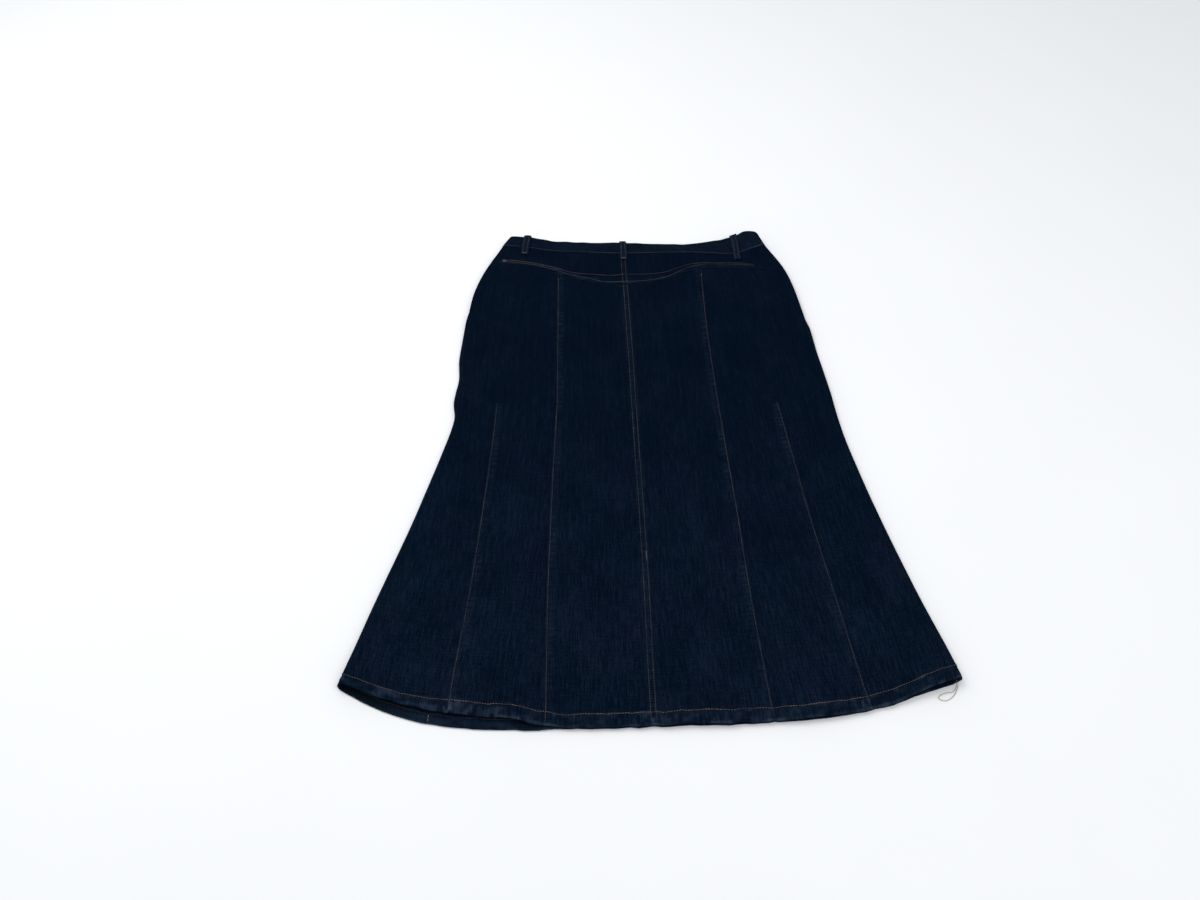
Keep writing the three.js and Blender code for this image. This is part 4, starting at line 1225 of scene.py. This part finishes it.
class Finish:
    def __init__(self, name, **fixed):
        self.material = bpy.data.materials.new(name)
        self.material.use_nodes = True
        self.tree = self.material.node_tree
        self.shader = self.tree.nodes["Principled BSDF"]
        for key, value in fixed.items():
            self.shader.inputs[key.replace("_", " ")].default_value = value

    def node(self, kind, settings=None, sockets=None, output=0):
        node = self.tree.nodes.new("ShaderNode" + kind)
        for key, value in (settings or {}).items():
            if key == "stops":
                elements = node.color_ramp.elements
                elements.remove(elements[1])
                for i, (place, colour) in enumerate(value):
                    element = elements[0] if i == 0 else elements.new(place)
                    element.position, element.color = place, (*colour, 1)
            else:
                setattr(node, key, value)
        for key, value in (sockets or {}).items():
            self.plug(node.inputs[key], value)
        return Wire(self, node.outputs[output])

    def plug(self, socket, value):
        if isinstance(value, Wire):
            self.tree.links.new(value.socket, socket)
        else:
            socket.default_value = value

    def noise(self, place, stretch, detail=2, rough=0.5):
        spread = self.node("Mapping", {}, {"Vector": place, "Scale": stretch})
        return self.node("TexNoise", {}, {"Vector": spread, "Scale": 1, "Detail": detail, "Roughness": rough})

    def bands(self, place, period, turn):
        spread = self.node("Mapping", {}, {"Vector": place, "Rotation": (0, 0, math.radians(turn))})
        return self.node("TexWave", {"wave_type": "BANDS", "bands_direction": "X"},
                         {"Vector": spread, "Scale": 0.31416 / period, "Distortion": 1.2, "Detail": 1,
                          "Detail Scale": 2})

    def mix(self, share, first, second, blend="MIX"):
        sockets = {0: share, 6: first, 7: second}
        return self.node("Mix", {"data_type": "RGBA", "blend_type": blend}, sockets, 2)

    def ramp(self, value, stops):
        return self.node("ValToRGB", {"stops": stops}, {"Fac": value})

    def attribute(self, name):
        return self.node("Attribute", {"attribute_name": name}, {}, 2)

    def finish(self, colour=None, rough=None, height=None, depth=0.0002, strength=0.5):
        if colour is not None:
            self.plug(self.shader.inputs["Base Color"], colour)
        if rough is not None:
            self.plug(self.shader.inputs["Roughness"], rough)
        if height is not None:
            self.plug(self.shader.inputs["Normal"],
                      self.node("Bump", {}, {"Height": height, "Distance": depth, "Strength": strength}))
        return self.material


# inside is the cloth's wrong side, darkened as painted shade for the hollow between the layers
denimLook = {"deep": (0.0004, 0.0024, 0.0070), "plain": (0.0011, 0.0044, 0.0118),
             "pale": (0.0058, 0.0120, 0.0255), "worn": (0.034, 0.054, 0.086),
             "inside": (0.0034, 0.0074, 0.0076), "teal": (0.82, 1.05, 1.0), "plum": (1.22, 0.95, 1.02),
             "streak": 0.72, "slub": 0.34, "weft": 0.24, "cloud": 0.36,
             "mottle": 0.50, "hemward": 0.12, "creaseShadeAndWear": 0.05, "twillPeriod": 0.0011, "twillTurn": 27,
             "bump": 0.0004}


def denimFinish():
    look = denimLook
    denim = Finish("denim", Specular_IOR_Level=0.012, Sheen_Weight=0.01, Sheen_Roughness=0.35,
                   Sheen_Tint=(0.35, 0.75, 1, 1))
    grain = denim.node("UVMap", {"uv_map": "grain"})
    streak = denim.noise(grain, (680, 42, 1), 3, 0.6)
    slub = denim.noise(grain, (260, 9, 1), 2, 0.5)
    weft = denim.noise(grain, (42, 430, 1), 2, 0.6)
    cloud = denim.noise(grain, (17, 12, 1), 3, 0.55)
    mottle = denim.noise(grain, (380, 330, 1), 3, 0.7)
    fibre = denim.noise(grain, (1900, 1500, 1), 2, 0.7)
    up = denim.node("SeparateXYZ", {}, {0: denim.node("TexCoord", {}, {}, 3)}, 1)
    hemward = ((0.15 - up) * 1.8).within(0, 1)
    fine = (streak - 0.5) * look["streak"] + (weft - 0.5) * look["weft"] + (mottle - 0.5) * look["mottle"]
    # the crease heights darken crease troughs as painted shade and lighten ridges as wear and painted light
    tone = (0.5 + fine * (0.8 + hemward * 0.9) + (slub - 0.5) * look["slub"] + (cloud - 0.5) * look["cloud"]
            + hemward * look["hemward"] + denim.attribute("creaseShadeAndWear") * look["creaseShadeAndWear"])
    colour = denim.ramp(tone, [(0.2, look["deep"]), (0.5, look["plain"]), (0.9, look["pale"])])
    hue = ((denim.noise(grain, (11, 8, 1), 3, 0.6) - 0.5) * 3 + 0.5).within(0, 1)
    colour = denim.mix(1, colour, denim.mix(hue, (*look["teal"], 1), (*look["plum"], 1)), "MULTIPLY")
    patch = denim.noise(grain, (420, 160, 1), 2, 0.6)
    worn = denim.attribute("worn") * (0.35 + patch * 0.75 + (streak - 0.5) * 1.2)
    colour = denim.mix(worn.within(0, 1) ** 1.3, colour, (*look["worn"], 1))
    # painted shade: the inside colour darkens the inner face for the hollow between the layers
    colour = denim.mix(denim.attribute("inside") * (0.35 + weft * 0.5), colour, (*look["inside"], 1))
    twill = denim.bands(grain, look["twillPeriod"], look["twillTurn"])
    height = twill * 0.5 + fibre * 0.5 + slub * 0.4 + streak * 0.3
    return denim.finish(colour, 0.82 + mottle * 0.15, height, look["bump"], 0.5)


def threadFinish():
    topstitch = Finish("topstitch_thread", Specular_IOR_Level=0.2)
    place = topstitch.node("TexCoord", {}, {}, 3)
    tone = topstitch.attribute("tone") + (topstitch.noise(place, (160, 160, 160), 2, 0.6) - 0.5) * 0.5
    colour = topstitch.ramp(tone, [(0.1, (0.024, 0.024, 0.030)), (0.42, (0.048, 0.043, 0.047)),
                                   (0.7, (0.090, 0.064, 0.050)), (1.0, (0.20, 0.135, 0.085))])
    ply = topstitch.noise(place, (2200, 2200, 2200), 1, 0.5)
    return topstitch.finish(colour, 0.6 + ply * 0.3, ply, 0.00015, 0.5)


def brassFinish():
    brass = Finish("dull_brass", Specular_IOR_Level=0.5, Metallic=1)
    place = brass.node("TexCoord", {}, {}, 3)
    tarnish = brass.noise(place, (130, 130, 130), 4, 0.6)
    brush = brass.noise(place, (900, 900, 300), 2, 0.5)
    colour = brass.ramp(tarnish, [(0.35, (0.10, 0.062, 0.025)), (0.6, (0.30, 0.19, 0.075))])
    return brass.finish(colour, 0.28 + tarnish * 0.35, brush, 0.00005, 0.4)


def tapeFinish():
    woven = Finish("zip_tape", Specular_IOR_Level=0.1)
    place = woven.node("TexCoord", {}, {}, 3)
    rib = woven.bands(place, 0.0012, 45)
    ribBack = woven.bands(place, 0.0012, -45)
    weave = rib * ribBack + woven.noise(place, (1500, 1500, 1500), 1, 0.5) * 0.4
    colour = woven.ramp(weave, [(0.1, (0.0018, 0.0026, 0.0050)), (0.9, (0.0062, 0.0080, 0.0125))])
    return woven.finish(colour, 0.85 + weave * 0.1, weave, 0.0002, 0.6)


def floorFinish():
    paper = Finish("pale_floor", Specular_IOR_Level=0.2)
    place = paper.node("TexCoord", {}, {}, 3)
    mottle = paper.noise(place, (4, 4, 4), 2, 0.5)
    colour = paper.ramp(mottle, [(0.3, (0.93, 0.93, 0.93)), (0.7, (0.94, 0.94, 0.94))])
    return paper.finish(colour, 0.9)


def dress(piece, material):
    piece.data.materials.clear()
    piece.data.materials.append(material)


denim = denimFinish()
for piece in pieces.values():
    dress(piece, denim)
topstitch = threadFinish()
for piece in threads:
    dress(piece, topstitch)
brass = brassFinish()
dress(teeth, brass)
dress(tape, tapeFinish())
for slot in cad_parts["button"].material_slots:
    slot.material = brass
print("finishes are set")

# the floor and its finish

floorSize, floorDrop = 24, 0.0004
deselectAll()
bpy.ops.mesh.primitive_plane_add(size=floorSize, location=(0, 0, -floorDrop))
floor = bpy.context.active_object
floor.name = "floor"
dress(floor, floorFinish())
